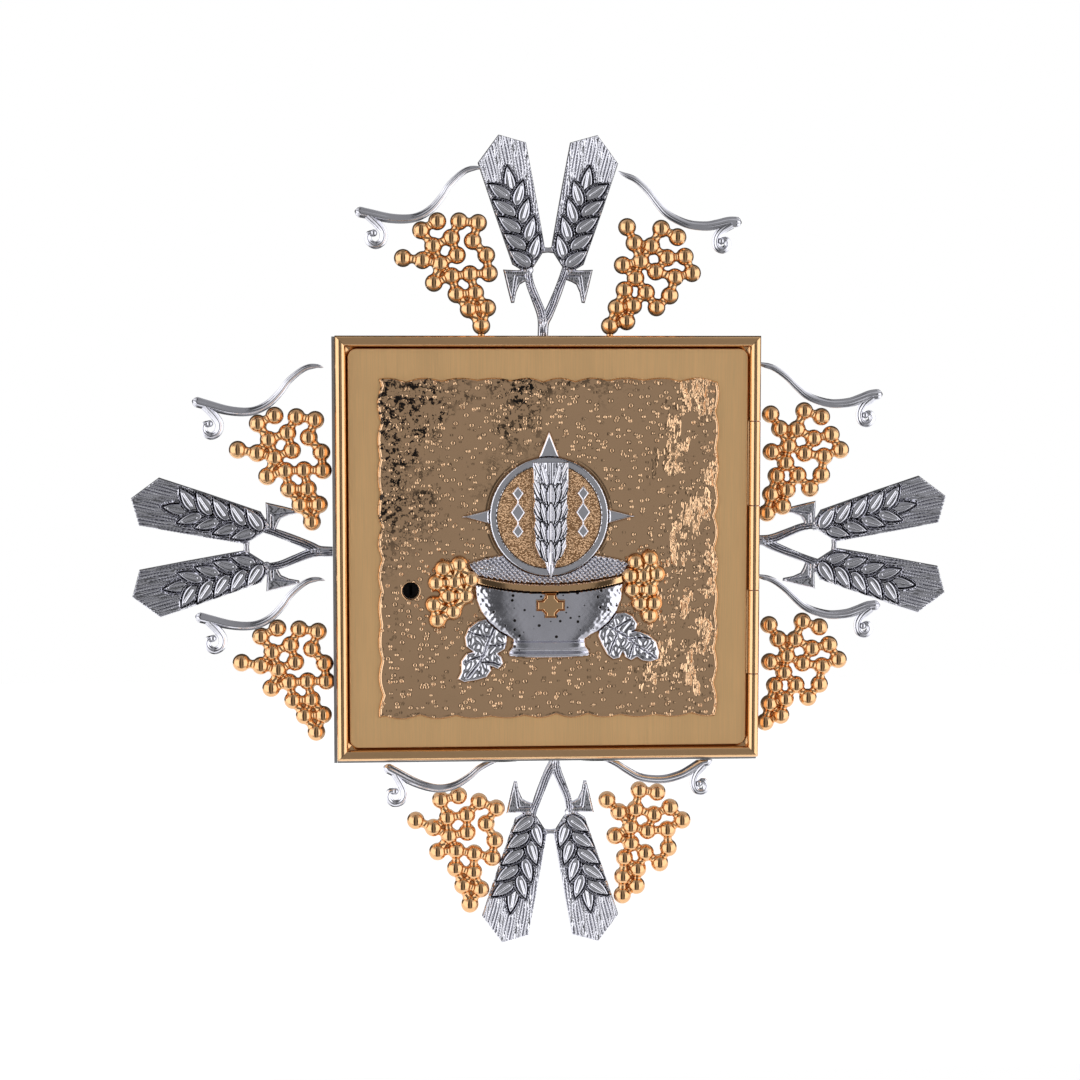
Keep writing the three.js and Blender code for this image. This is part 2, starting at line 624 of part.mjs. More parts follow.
// Place of each unit: lowest berry [x, z] and clockwise turn in degrees.
const UNITS = {
  top_left: [LEFT_UNIT, -47, 157, 0],
  left_upper: [LEFT_UNIT, -167, 19, 4],
  left_lower: [LEFT_UNIT, -165, -131, 3],
  bottom_left: [LEFT_UNIT, -56, -257, 17],
  top_right: [RIGHT_UNIT, 44, 157, 0],
  right_upper: [RIGHT_UNIT, 157, 24, -8],
  right_lower: [RIGHT_UNIT, 157, -127, -8],
  bottom_right: [RIGHT_UNIT, 54, -252, -19],
};
const BERRY_Y = -235;
const TENDRIL_Y = -240;

// The box and a gap round it, in a unit's own frame.
function boxRoom(group) {
  group.updateMatrixWorld(true);
  const size = [BOX.right - BOX.left + 2 * GAP, 60, BOX.top - BOX.bottom + 2 * GAP];
  const geometry = new THREE.BoxGeometry(...size).translate(
    (BOX.left + BOX.right) / 2, ORNAMENT_Y, (BOX.bottom + BOX.top) / 2,
  );
  return solid(geometry.applyMatrix4(group.matrixWorld.clone().invert()));
}

// Half-widths of a tendril and of its curl, from one end to the other.
const TENDRIL = { point: 1.6, blunt: 3.2, curlRoot: 2.7, curlEye: 1.7 };

// What the sprays are cut back from: every bunch and tendril with a gap round it.
const unitRooms = [];

const castingSize = (points) => points.map(([x, z]) => [x * CASTING.grapes, z * CASTING.grapes]);

function buildUnits() {
  for (const [place, [unit, x, z, turn]] of Object.entries(UNITS)) {
    const group = new THREE.Group();
    group.position.set(x, 0, z);
    group.rotation.y = THREE.MathUtils.degToRad(turn);
    part.add(group);
    const room = boxRoom(group);
    const [berries, tendril, leaf] = [unit.berries, unit.tendril, unit.curl].map(castingSize);
    let grapes = bunch(berries, BERRY, BERRY_Y);
    if (place.startsWith("top")) grapes = grapes.add(link([0, 0], [0, -9], BERRY_Y, 3));
    addPiece(group, "grapes_" + place, largest(cut(grapes, [room])), FINISH.gold);
    const { point, blunt, curlRoot, curlEye } = TENDRIL;
    const stalk = taperedBar(tendril, TENDRIL_Y, point, blunt, 11);
    const curl = taperedBar(leaf, TENDRIL_Y, curlRoot, curlEye, 7);
    const clear = bunch(berries, BERRY + GAP, BERRY_Y);
    addPiece(group, "tendril_" + place, largest(cut(stalk.add(curl), [room, clear])), FINISH.silver);
    const wide = taperedBar(tendril, TENDRIL_Y, point + GAP, blunt + GAP, 11);
    unitRooms.push(solid(geometryOf(clear.add(wide)).applyMatrix4(group.matrixWorld)));
  }
}

// One ear of a wheat spray, drawn as the left ear of the top spray.
const EAR = [
  [-14.7, 195], [-9, 199.5], [-1, 212], [-1.8, 217.8], [-8.7, 256.7], [-14.7, 288.5],
  [-34.6, 294], [-49.6, 273.7], [-38.6, 240.7], [-24.7, 201],
];
const GRAINS = [
  [-26.7, 261.6, 0.2], [-33.6, 250.6, -0.1], [-30.6, 240.7, -0.1], [-25.7, 227.8, -0.1],
  [-21.7, 215.8, -0.1], [-18.7, 248.7, 0.55], [-13.8, 236.7, 0.55], [-10.8, 222.8, 0.55],
  [-8.7, 210.8, 0.55],
];
const BARB = [
  [-12, 198], [-31.4, 197.5], [-25.5, 173.3], [-23.2, 173.6], [-19.8, 187], [-13.5, 189],
];
// The stem forks into one arm for each ear; the fork stands left of the ears' middle.
const LEFT_ARM = [
  [-5.6, 158], [-5.8, 164], [-10.2, 175.5], [-14.8, 187], [-17, 199], [-11, 199.5], [-9.4, 189],
  [-4.9, 177.5], [-0.2, 166], [0.6, 158],
];
const RIGHT_ARM = [
  [-5.6, 158], [-4.5, 161], [-1.3, 166.5], [4.6, 180.2], [9, 192], [11.2, 200], [17, 199],
  [14.6, 190], [10.2, 178], [4.1, 163.6], [0.6, 158],
];
// Place of each spray: clockwise turn in degrees, outward and sideways shift, end of the stem.
const SPRAYS = {
  top: [0, 4, -1, BOX.top + GAP],
  left: [-90, 7, 0, -BOX.left + GAP],
  right: [90, 0, -2, BOX.right + GAP],
  bottom: [180, -1, -3, -BOX.bottom + GAP],
};

function wheatSpray(stemEnd) {
  const { thick, mirrorX, stemX, stem, tie } = WHEAT;
  const back = ORNAMENT_Y + thick / 2;
  const grain = ([x, z, lean]) =>
    solid(
      new THREE.OctahedronGeometry(1)
        .scale(4.6, 2.2, 9)
        .rotateY(-lean - 0.1)
        .translate(x, back - thick + 0.8, z),
    );
  const half = join([
    plate(outline(EAR), back, thick),
    plate(outline(BARB), back, thick * 0.6),
    ...GRAINS.map(grain),
  ]);
  const mirroredHalf = half.mirror([1, 0, 0]).translate([2 * mirrorX, 0, 0]);
  const arms = [LEFT_ARM, RIGHT_ARM].map((points) => plate(outline(points), back, thick));
  const trunk = block([stemX - stem / 2, back - thick, stemEnd], [stemX + stem / 2, back, 160]);
  const bridge = link([-9, 211], [2 * mirrorX + 9, 211], ORNAMENT_Y, tie);
  return join([half, mirroredHalf, ...arms, trunk, bridge]);
}

function buildSprays() {
  for (const [place, [turn, outward, sideways, end]] of Object.entries(SPRAYS)) {
    const group = new THREE.Group();
    group.rotation.y = THREE.MathUtils.degToRad(turn);
    group.translateZ(outward);
    group.translateX(sideways);
    group.scale.set(CASTING.wheat, 1, CASTING.wheat);
    part.add(group);
    group.updateMatrixWorld(true);
    const toLocal = group.matrixWorld.clone().invert();
    const rooms = unitRooms.map((room) => solid(geometryOf(room).applyMatrix4(toLocal)));
    const spray = wheatSpray((end - outward) / CASTING.wheat);
    addPiece(group, "wheat_" + place, cut(spray, rooms), FINISH.silver);
  }
}

buildBox();
buildFrame();
buildDoorKnuckles();
buildDoorPlates();
buildHalo();
buildDoorEar();
buildChalice();
buildVine();
buildLock();
buildUnits();
buildSprays();

export default part;
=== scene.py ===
"""Wall tabernacle: gilt frame and door with silver reliefs, cast grape, tendril and wheat ornaments.

Shapes are worked out in millimetres in the frame's axes: X right, Z up, front faces -Y.
"""

import math

import bpy
import numpy as np
from mathutils import Matrix, Vector


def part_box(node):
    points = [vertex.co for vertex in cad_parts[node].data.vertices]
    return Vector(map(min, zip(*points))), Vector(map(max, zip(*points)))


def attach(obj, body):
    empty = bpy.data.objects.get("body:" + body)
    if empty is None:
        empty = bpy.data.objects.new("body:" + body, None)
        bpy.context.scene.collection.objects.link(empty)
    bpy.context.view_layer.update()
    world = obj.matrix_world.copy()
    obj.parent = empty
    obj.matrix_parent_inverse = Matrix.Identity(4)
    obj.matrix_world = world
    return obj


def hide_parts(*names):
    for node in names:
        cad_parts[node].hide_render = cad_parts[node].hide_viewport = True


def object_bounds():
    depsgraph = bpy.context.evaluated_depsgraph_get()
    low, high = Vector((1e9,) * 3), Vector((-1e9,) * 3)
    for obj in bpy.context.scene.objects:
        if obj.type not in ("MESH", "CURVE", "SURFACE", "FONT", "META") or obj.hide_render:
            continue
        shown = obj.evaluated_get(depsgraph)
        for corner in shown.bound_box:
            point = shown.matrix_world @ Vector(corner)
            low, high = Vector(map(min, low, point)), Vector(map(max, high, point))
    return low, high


MM = 0.001

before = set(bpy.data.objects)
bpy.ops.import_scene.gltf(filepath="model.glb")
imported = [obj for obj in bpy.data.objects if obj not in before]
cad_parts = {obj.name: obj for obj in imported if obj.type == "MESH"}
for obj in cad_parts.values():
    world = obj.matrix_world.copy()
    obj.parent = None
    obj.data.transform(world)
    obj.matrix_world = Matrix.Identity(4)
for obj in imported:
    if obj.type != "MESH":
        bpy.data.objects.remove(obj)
CAD_BOUNDS = [list(corner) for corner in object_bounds()]


def box(node):
    """Lowest and highest corner of a CAD node, in millimetres."""
    low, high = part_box(node)
    return Vector(low) / MM, Vector(high) / MM


# ---------------------------------------------------------------- sizes taken from the frame
RAIL_LOW, RAIL_HIGH = box("frame_left_stile")
FRAME_HALF = -RAIL_LOW.x
FLANGE_WIDTH = RAIL_HIGH.x - RAIL_LOW.x
FLANGE_BACK = RAIL_HIGH.y
PLATE_LOW, PLATE_HIGH = box("door_plate")
PLAQUE_LOW, PLAQUE_HIGH = box("door_plaque")
KNUCKLE_LOW, KNUCKLE_HIGH = box("door_knuckle_upper")
LOWER_KNUCKLE_LOW, LOWER_KNUCKLE_HIGH = box("door_knuckle_lower")
BEAD = (KNUCKLE_HIGH.y - KNUCKLE_LOW.y) / 2
HINGE_X = KNUCKLE_HIGH.x - BEAD
HINGE_Y = (KNUCKLE_LOW.y + KNUCKLE_HIGH.y) / 2
RELIEF_BACK = box("halo_ring")[1].y
WHEAT_BACK = box("wheat_top")[1].y
HALO_Z = (box("ray_left")[0].z + box("ray_left")[1].z) / 2
HALO_OUTER = 42.0
HALO_INNER = 36.6
KEYHOLE = ((box("lock_cylinder")[0].x + box("lock_cylinder")[1].x) / 2, -29.3)
KEYHOLE_RADIUS = 6.0
# Berries: radius, radius of the necks between them, and how far apart two joined ones may be.
BERRY = 6.4
NECK = 3.1
BERRY_REACH = 14.6
DOOR_BERRY = 5.9
DOOR_NECK = 3.4
DOOR_BERRY_REACH = 14.8
GRAPE_Y = (box("grapes_top_left")[0].y + box("grapes_top_left")[1].y) / 2
TENDRIL_Y = (box("tendril_top_left")[0].y + box("tendril_top_left")[1].y) / 2

# ---------------------------------------------------------------- colours
GOLD = (0.86, 0.54, 0.285, 1)
PLAQUE_GOLD = (0.88, 0.57, 0.34, 1)
PALE_GOLD = (0.86, 0.56, 0.285, 1)
COPPER_GOLD = (0.86, 0.51, 0.26, 1)
BRUSHED_GOLD = (1.0, 0.66, 0.33, 1)
SILVER = (0.80, 0.80, 0.87, 1)
BOWL_GREY = (0.84, 0.84, 0.93, 1)
STEEL = (0.60, 0.61, 0.64, 1)
TARNISH = (0.035, 0.028, 0.025, 1)
DARK_STEEL = (0.02, 0.02, 0.022, 1)


# ---------------------------------------------------------------- material building
class Nodes:
    """Short calls for building a node tree."""

    def __init__(self, tree):
        self.tree = tree

    def add(self, kind, **values):
        node = self.tree.nodes.new(kind)
        for key, value in values.items():
            setattr(node, key, value)
        return node

    def link(self, source, target):
        self.tree.links.new(source, target)

    def ramp(self, value, low, high, out_low=0.0, out_high=1.0):
        node = self.add("ShaderNodeMapRange", interpolation_type="SMOOTHSTEP")
        names = ("From Min", "From Max", "To Min", "To Max")
        for name, number in zip(names, (low, high, out_low, out_high)):
            node.inputs[name].default_value = number
        self.link(value, node.inputs["Value"])
        return node.outputs["Result"]

    def math(self, operation, a, b=0.0):
        node = self.add("ShaderNodeMath", operation=operation)
        for socket, value in zip(node.inputs, (a, b)):
            if isinstance(value, (int, float)):
                socket.default_value = value
            else:
                self.link(value, socket)
        return node.outputs[0]


class Finish(Nodes):
    """A material with short calls for what the finishes share."""

    def __init__(self, name):
        self.material = bpy.data.materials.new(name)
        self.material.use_nodes = True
        super().__init__(self.material.node_tree)
        self.shader = self.tree.nodes["Principled BSDF"]
        self.coordinates = self.add("ShaderNodeTexCoord").outputs["Object"]

    def texture(self, kind, stretch, place, **inputs):
        """A texture node on stretched and moved object coordinates."""
        mapping = self.add("ShaderNodeMapping")
        mapping.inputs["Scale"].default_value = stretch
        mapping.inputs["Location"].default_value = place
        self.link(self.coordinates, mapping.inputs["Vector"])
        node = self.add(kind)
        for key, value in inputs.items():
            node.inputs[key].default_value = value
        self.link(mapping.outputs["Vector"], node.inputs["Vector"])
        return node.outputs

    def noise(self, scale, detail=3.0, rough=0.55, stretch=(1, 1, 1), place=(0, 0, 0)):
        values = {"Scale": scale, "Detail": detail, "Roughness": rough}
        return self.texture("ShaderNodeTexNoise", stretch, place, **values)["Fac"]

    def cells(self, scale, randomness=1.0, stretch=(1, 1, 1)):
        """Distance to the nearest of some scattered points, and a random number for each point."""
        outputs = self.texture("ShaderNodeTexVoronoi", stretch, (0, 0, 0), Scale=scale, Randomness=randomness)
        return outputs["Distance"], outputs["Color"]

    def mix(self, factor, a, b):
        node = self.add("ShaderNodeMix", data_type="RGBA")
        self.link(factor, node.inputs["Factor"])
        for socket, value in ((node.inputs["A"], a), (node.inputs["B"], b)):
            if isinstance(value, tuple):
                socket.default_value = value
            else:
                self.link(value, socket)
        return node.outputs["Result"]

    def cavity(self, distance):
        """Near 0 in grooves and corners, 1 in the open."""
        node = self.add("ShaderNodeAmbientOcclusion", samples=6, only_local=False)
        node.inputs["Distance"].default_value = distance
        return node.outputs["AO"]

    def bump(self, height, strength, distance, normal=None):
        node = self.add("ShaderNodeBump")
        node.inputs["Strength"].default_value = strength
        node.inputs["Distance"].default_value = distance
        self.link(height, node.inputs["Height"])
        if normal is not None:
            self.link(normal, node.inputs["Normal"])
        return node.outputs["Normal"]

    def metal(self, colour, roughness, normal=None):
        self.shader.inputs["Metallic"].default_value = 1.0
        for name, value in (("Base Color", colour), ("Roughness", roughness)):
            if isinstance(value, (int, float, tuple)):
                self.shader.inputs[name].default_value = value
            else:
                self.link(value, self.shader.inputs[name])
        if normal is not None:
            self.link(normal, self.shader.inputs["Normal"])
        return self.material


def tint(colour, *shares):
    """A colour scaled by one share, or by a share for each channel."""
    return tuple(c * k for c, k in zip(colour, shares * 3 if len(shares) == 1 else shares)) + (1,)


def polished_gilt(name, colour, low_rough=0.10, high_rough=0.22, shade_and_patina_reach=0.0035, wave=0.35):
    """Polished gilding: faint ripples, patchy gloss, painted shade browning the crevices."""
    n = Finish(name)
    patches = n.noise(28, 4)
    roughness = n.ramp(patches, 0.3, 0.75, low_rough, high_rough)
    # painted shade: the gilt turns darker brown where the occlusion finds crevices, corners and gaps between
    # parts
    shade = n.mix(n.ramp(n.cavity(shade_and_patina_reach), 0.25, 0.85), tint(colour, 0.62, 0.42, 0.25), colour)
    ripple = n.bump(n.noise(170, 2), wave, 0.0002)
    fine = n.bump(n.noise(1400, 3), 0.12, 0.00006, ripple)
    return n.metal(shade, roughness, fine)


def brushed_gilt(name, colour):
    """Sheet brushed up and down: long fine vertical scratches over soft broad bands."""
    n = Finish(name)
    long_lines = n.noise(90, 4, 0.7, (18, 18, 0.3))
    fine_lines = n.noise(220, 3, 0.75, (14, 14, 0.14), (3, 0, 1))
    bands = n.noise(4, 2, 0.5, (5, 5, 0.25))
    lines = n.math("ADD", n.math("MULTIPLY", long_lines, 0.6), n.math("MULTIPLY", fine_lines, 0.4))
    tone = n.math("ADD", n.math("MULTIPLY", lines, 0.7), n.math("MULTIPLY", bands, 0.3))
    shade = n.mix(n.ramp(tone, 0.38, 0.60), tint(colour, 0.9), colour)
    # painted shade: darker brown in the corners and beside the parts that stand on the plate
    shade = n.mix(n.ramp(n.cavity(0.003), 0.15, 0.7), tint(colour, 0.6, 0.48, 0.38), shade)
    roughness = n.ramp(lines, 0.3, 0.7, 0.50, 0.62)
    return n.metal(shade, roughness, n.bump(lines, 0.35, 0.00008))


def punched_gilt(name, colour):
    """Polished sheet with small punched rings, brown in the marks; scuffed black towards the upper left
    corner, with bright hammered streaks towards the right and lower right."""
    n = Finish(name)
    separate = n.add("ShaderNodeSeparateXYZ")
    n.link(n.coordinates, separate.inputs[0])
    x, _, z = separate.outputs
    corner = n.math("SUBTRACT", z, n.math("MULTIPLY", x, 0.8))
    patches = n.ramp(n.noise(26, 2, 0.6, (1, 1, 1), (2.4, 0, 1.1)), 0.42, 0.55)
    zone = n.math("MULTIPLY", n.ramp(corner, 0.055, 0.12), patches)
    crackle = n.ramp(n.noise(300, 3, 0.7, (1, 1, 1), (5, 0, 2)), 0.51, 0.57)
    scuffs = n.math("MULTIPLY", crackle, zone)

    distance, colours = n.cells(218, 0.8, (1, 0, 1))
    ring = n.ramp(n.math("ABSOLUTE", n.math("SUBTRACT", distance, 0.30)), 0.0, 0.10, 1.0, 0.0)
    broken = n.ramp(n.noise(260, 1), 0.34, 0.48, 0.15, 1.0)
    depth = n.ramp(colours, 0.1, 0.9, 0.2, 1.0)
    marks = n.math("MULTIPLY", n.math("MULTIPLY", ring, broken), depth)

    side = n.ramp(n.math("ADD", x, n.math("MULTIPLY", z, -0.12)), 0.060, 0.088)
    runs = n.ramp(n.noise(60, 3, 0.7, (1, 1, 0.5), (1.3, 0, 4.2)), 0.51, 0.62)
    wrinkles = n.ramp(n.noise(240, 2, 0.5, (1, 1, 0.4), (7, 0, 3)), 0.40, 0.62)
    streaks = n.math("MULTIPLY", wrinkles, n.math("MULTIPLY", side, runs))

    brown = tint(colour, 0.45, 0.30, 0.18)
    shade = n.mix(n.math("MULTIPLY", n.ramp(distance, 0.12, 0.26, 0.5, 0.0), depth), colour, brown)
    # painted shade: the sheet turns brown close around the reliefs and in its corners
    shade = n.mix(n.ramp(n.cavity(0.0018), 0.55, 0.97), brown, shade)
    shade = n.mix(scuffs, shade, TARNISH)
    fine = n.math("SUBTRACT", n.math("MULTIPLY", n.noise(500, 3), 0.5), scuffs)
    normal = n.bump(fine, 0.3, 0.0002)
    normal = n.bump(n.ramp(distance, 0.1, 0.48), 1.0, 0.0004, normal)
    normal = n.bump(marks, 1.0, 0.00062, normal)
    normal = n.bump(streaks, 1.0, 0.0016, normal)
    roughness = n.ramp(n.noise(70, 3), 0.3, 0.7, 0.10, 0.2)
    return n.metal(shade, roughness, normal)


def grained_gilt(name, colour):
    """Matted gold ground: dense fine grains."""
    n = Finish(name)
    grains, _ = n.cells(980)
    shade = n.mix(n.ramp(grains, 0.3, 0.7), colour, tint(colour, 0.75, 0.62, 0.5))
    return n.metal(shade, 0.28, n.bump(n.ramp(grains, 0.1, 0.6, 1.0, 0.0), 0.7, 0.0003))


def cast_silver(name, colour, shade_and_patina_reach=0.0016, pitting=0.0, rough=(0.08, 0.2)):
    """Silver plate over a casting: dark patina left in the grooves, bright on the high parts."""
    n = Finish(name)
    open_air = n.ramp(n.cavity(shade_and_patina_reach), 0.14, 0.52)
    clean = n.mix(n.ramp(n.noise(36, 4), 0.35, 0.75), colour, tint(colour, 0.86))
    height = n.noise(420, 3)
    if pitting:
        distance, depths = n.cells(185, 1.0, (1, 0, 1))
        pits = n.ramp(n.math("ADD", distance, n.ramp(depths, 0.3, 0.8, 0.0, 0.1)), 0.17, 0.23)
        height = n.math("ADD", n.math("MULTIPLY", height, 0.5), n.math("MULTIPLY", pits, pitting))
        clean = n.mix(pits, TARNISH, clean)
    shade = n.mix(open_air, TARNISH, clean)
    normal = n.bump(height, 0.25, 0.0002)
    normal = n.bump(n.noise(150, 2), 0.12, 0.0003, normal)
    roughness = n.ramp(n.noise(90, 3), 0.3, 0.7, *rough)
    return n.metal(shade, roughness, normal)


def sheet_steel(name, colour, low_rough=0.28, high_rough=0.42):
    """Plain satin sheet with a faint rolled grain."""
    n = Finish(name)
    grain = n.noise(90, 5, 0.7, (1, 40, 40))
    shade = n.mix(n.ramp(n.noise(9, 3), 0.35, 0.7), colour, tint(colour, 0.82))
    # painted shade: much darker in the inside corners of the box
    shade = n.mix(n.ramp(n.cavity(0.006), 0.1, 0.7), tint(colour, 0.35), shade)
    return n.metal(shade, n.ramp(grain, 0.3, 0.7, low_rough, high_rough), n.bump(grain, 0.2, 0.00005))


FRAME_GILT = polished_gilt("frame_gilt", GOLD, 0.12, 0.24)
GRAPE_GILT = polished_gilt("grape_gilt", COPPER_GOLD, 0.05, 0.12, 0.0022, 0.2)
RELIEF_GILT = polished_gilt("relief_gilt", GOLD, 0.08, 0.16, 0.003, 0.2)
LINING_GILT = polished_gilt("lining_gilt", PALE_GOLD, 0.25, 0.4, 0.02)
BRUSHED_GILT = brushed_gilt("brushed_gilt", BRUSHED_GOLD)
PLAQUE_GILT = punched_gilt("plaque_gilt", PLAQUE_GOLD)
DISC_GILT = grained_gilt("disc_gilt", PLAQUE_GOLD)
CAST_SILVER = cast_silver("cast_silver", SILVER)
RELIEF_SILVER = cast_silver("relief_silver", SILVER, 0.0014)
BOWL_SILVER = cast_silver("bowl_silver", BOWL_GREY, 0.0014, 1.0, (0.14, 0.24))
SHEET_STEEL = sheet_steel("sheet_steel", STEEL)
LOCK_STEEL = sheet_steel("lock_steel", STEEL, 0.2, 0.35)
LOCK_DARK = sheet_steel("lock_dark", DARK_STEEL, 0.4, 0.6)


# ---------------------------------------------------------------- meshes
def make_piece(name, vertices, faces, body, material, nodes=(), sharp=35):
    """A mesh piece from points in millimetres, riding on a body and standing for CAD nodes."""
    mesh = bpy.data.meshes.new(name)
    points = np.asarray(vertices, float) * MM
    mesh.from_pydata(points.tolist(), [], faces)
    mesh.validate()
    mesh.update()
    mesh.polygons.foreach_set("use_smooth", [True] * len(mesh.polygons))
    if sharp:
        mesh.set_sharp_from_angle(angle=math.radians(sharp))
    mesh.materials.append(material)
    piece = bpy.data.objects.new(name, mesh)
    bpy.context.scene.collection.objects.link(piece)
    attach(piece, body)
    if nodes:
        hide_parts(*nodes)
    return piece


class Solid:
    """Vertices and faces gathered from several closed parts of one piece."""

    def __init__(self):
        self.vertices = []
        self.faces = []

    def add(self, vertices, faces):
        start = len(self.vertices)
        self.vertices.extend([tuple(v) for v in vertices])
        self.faces.extend([tuple(i + start for i in face) for face in faces])

    def moved(self, matrix):
        flat = np.asarray(self.vertices, float)
        turned = flat @ np.array(matrix.to_3x3()).T + np.array(matrix.to_translation())
        self.vertices = [tuple(v) for v in turned]


def solid_piece(solid, node, ending, body, material, sharp=35):
    """A mesh piece from a solid, named after the CAD node that it stands for."""
    make_piece(node + ending, solid.vertices, solid.faces, body, material, [node], sharp)


def unit_sphere(rings=16, sides=24):
    """Points and faces of a ball of radius 1 whose poles point along Y."""
    vertices = [(0, -1, 0)]
    for i in range(1, rings):
        polar = math.pi * i / rings
        for j in range(sides):
            turn = 2 * math.pi * j / sides
            ring = math.sin(polar)
            vertices.append((ring * math.cos(turn), -math.cos(polar), ring * math.sin(turn)))
    vertices.append((0, 1, 0))
    faces = []
    for j in range(sides):
        k = (j + 1) % sides
        faces.append((0, 1 + j, 1 + k))
        for i in range(rings - 2):
            a = 1 + i * sides
            faces.append((a + j, a + sides + j, a + sides + k, a + k))
        last = 1 + (rings - 2) * sides
        faces.append((last + j, len(vertices) - 1, last + k))
    return np.array(vertices), faces


BALL = unit_sphere()


def add_ball(solid, centre, radius):
    vertices, faces = BALL
    solid.add(vertices * radius + np.array(centre), faces)


def sweep(solid, centres, ring_at):
    """Joins one ring of points per centre into a tube with flat ends."""
    rings = [np.asarray(ring_at(i, centre), float) for i, centre in enumerate(centres)]
    sides = len(rings[0])
    vertices = np.concatenate(rings)
    faces = []
    for i in range(len(rings) - 1):
        for j in range(sides):
            k = (j + 1) % sides
            faces.append((i * sides + j, i * sides + k, (i + 1) * sides + k, (i + 1) * sides + j))
    faces.append(tuple(reversed(range(sides))))
    last = (len(rings) - 1) * sides
    faces.append(tuple(range(last, last + sides)))
    solid.add(vertices, faces)


def add_neck(solid, a, b, radius, waist, y):
    """A cast neck between two berries: a waisted tube that meets both balls smoothly."""
    a = np.array([a[0], y, a[1]])
    b = np.array([b[0], y, b[1]])
    length = np.linalg.norm(b - a)
    along = (b - a) / length
    side = np.array([0, 1, 0])
    other = np.cross(along, side)
    half = length / 2
    fillet = (half**2 + waist**2 - radius**2) / (2 * (radius - waist))
    fillet = max(fillet, 0.5)
    reach = half * fillet / (radius + fillet)
    stations = np.linspace(-reach - 0.25, reach + 0.25, 9)
    middle = (a + b) / 2

    def ring(i, t):
        rise = math.sqrt(max(fillet**2 - min(abs(t), reach) ** 2, 0))
        r = max(waist + fillet - rise, waist) * (0.96 if abs(t) > reach else 1)
        turns = np.arange(12) * 2 * math.pi / 12
        return [middle + along * t + side * r * math.cos(q) + other * r * math.sin(q) for q in turns]

    sweep(solid, stations, ring)


def add_webs(solid, points, pairs, y):
    """Fills the small triangle between three joined berries with a thin cast web."""
    joined = set(pairs)
    for a, b in pairs:
        for c in range(b + 1, len(points)):
            if (a, c) in joined and (b, c) in joined:
                corners = [points[a], points[b], points[c]]
                middle = (sum(p[0] for p in corners) / 3, sum(p[1] for p in corners) / 3)
                front = [(px, y - 1.6, pz) for px, pz in corners] + [(middle[0], y - 0.9, middle[1])]
                back = [(px, y + 1.6, pz) for px, pz in corners] + [(middle[0], y + 0.9, middle[1])]
                turn = (corners[1][0] - corners[0][0]) * (corners[2][1] - corners[0][1])
                turn -= (corners[1][1] - corners[0][1]) * (corners[2][0] - corners[0][0])
                faces = []
                for i in range(3):
                    j = (i + 1) % 3
                    faces += [(i, j, 3), (j + 4, i + 4, 7), (j, i, i + 4, j + 4)]
                if turn < 0:
                    faces = [tuple(reversed(face)) for face in faces]
                solid.add(front + back, faces)


def smooth_path(points, samples):
    """A Catmull-Rom curve through points [x, z], as evenly numbered [x, z] samples with their share."""
    points = np.asarray(points, float)
    padded = np.vstack([2 * points[0] - points[1], points, 2 * points[-1] - points[-2]])
    dense = []
    for i in range(len(points) - 1):
        p0, p1, p2, p3 = padded[i : i + 4]
        for t in np.linspace(0, 1, 12, endpoint=False):
            dense.append(
                0.5 * ((2 * p1) + (p2 - p0) * t + (2 * p0 - 5 * p1 + 4 * p2 - p3) * t**2
                       + (3 * p1 - p0 - 3 * p2 + p3) * t**3)
            )
    dense.append(points[-1])
    dense = np.array(dense)
    steps = np.linalg.norm(np.diff(dense, axis=0), axis=1)
    lengths = np.concatenate([[0], np.cumsum(steps)])
    at = np.linspace(0, lengths[-1], samples)
    return np.column_stack([np.interp(at, lengths, dense[:, 0]), np.interp(at, lengths, dense[:, 1])])


# ---------------------------------------------------------------- relief from a height field
def polygon_distance(x, z, points):
    """Signed distance to a closed outline, negative inside."""
    points = np.asarray(points, float)
    nearest = np.full(x.shape, 1e9)
    inside = np.zeros(x.shape, bool)
    for (ax, az), (bx, bz) in zip(points, np.roll(points, -1, axis=0)):
        ex, ez = bx - ax, bz - az
        t = np.clip(((x - ax) * ex + (z - az) * ez) / (ex * ex + ez * ez), 0, 1)
        nearest = np.minimum(nearest, np.hypot(x - ax - t * ex, z - az - t * ez))
        crosses = (az > z) != (bz > z)
        at = ax + (z - az) * ex / (ez if abs(ez) > 1e-9 else 1e-9)
        inside ^= crosses & (x < at)
    return np.where(inside, -nearest, nearest)


def path_distance(x, z, points):
    """Distance to an open path, the share along it, and the side it lies on."""
    points = np.asarray(points, float)
    nearest = np.full(x.shape, 1e9)
    share = np.zeros(x.shape)
    side = np.zeros(x.shape)
    count = len(points) - 1
    for i in range(count):
        (ax, az), (bx, bz) = points[i], points[i + 1]
        ex, ez = bx - ax, bz - az
        t = np.clip(((x - ax) * ex + (z - az) * ez) / (ex * ex + ez * ez), 0, 1)
        away = np.hypot(x - ax - t * ex, z - az - t * ez)
        closer = away < nearest
        nearest = np.where(closer, away, nearest)
        share = np.where(closer, (i + t) / count, share)
        side = np.where(closer, np.sign(ex * (z - az) - ez * (x - ax)), side)
    return nearest, share, side


def smoothstep(value, low, high):
    t = np.clip((value - low) / (high - low), 0, 1)
    return t * t * (3 - 2 * t)


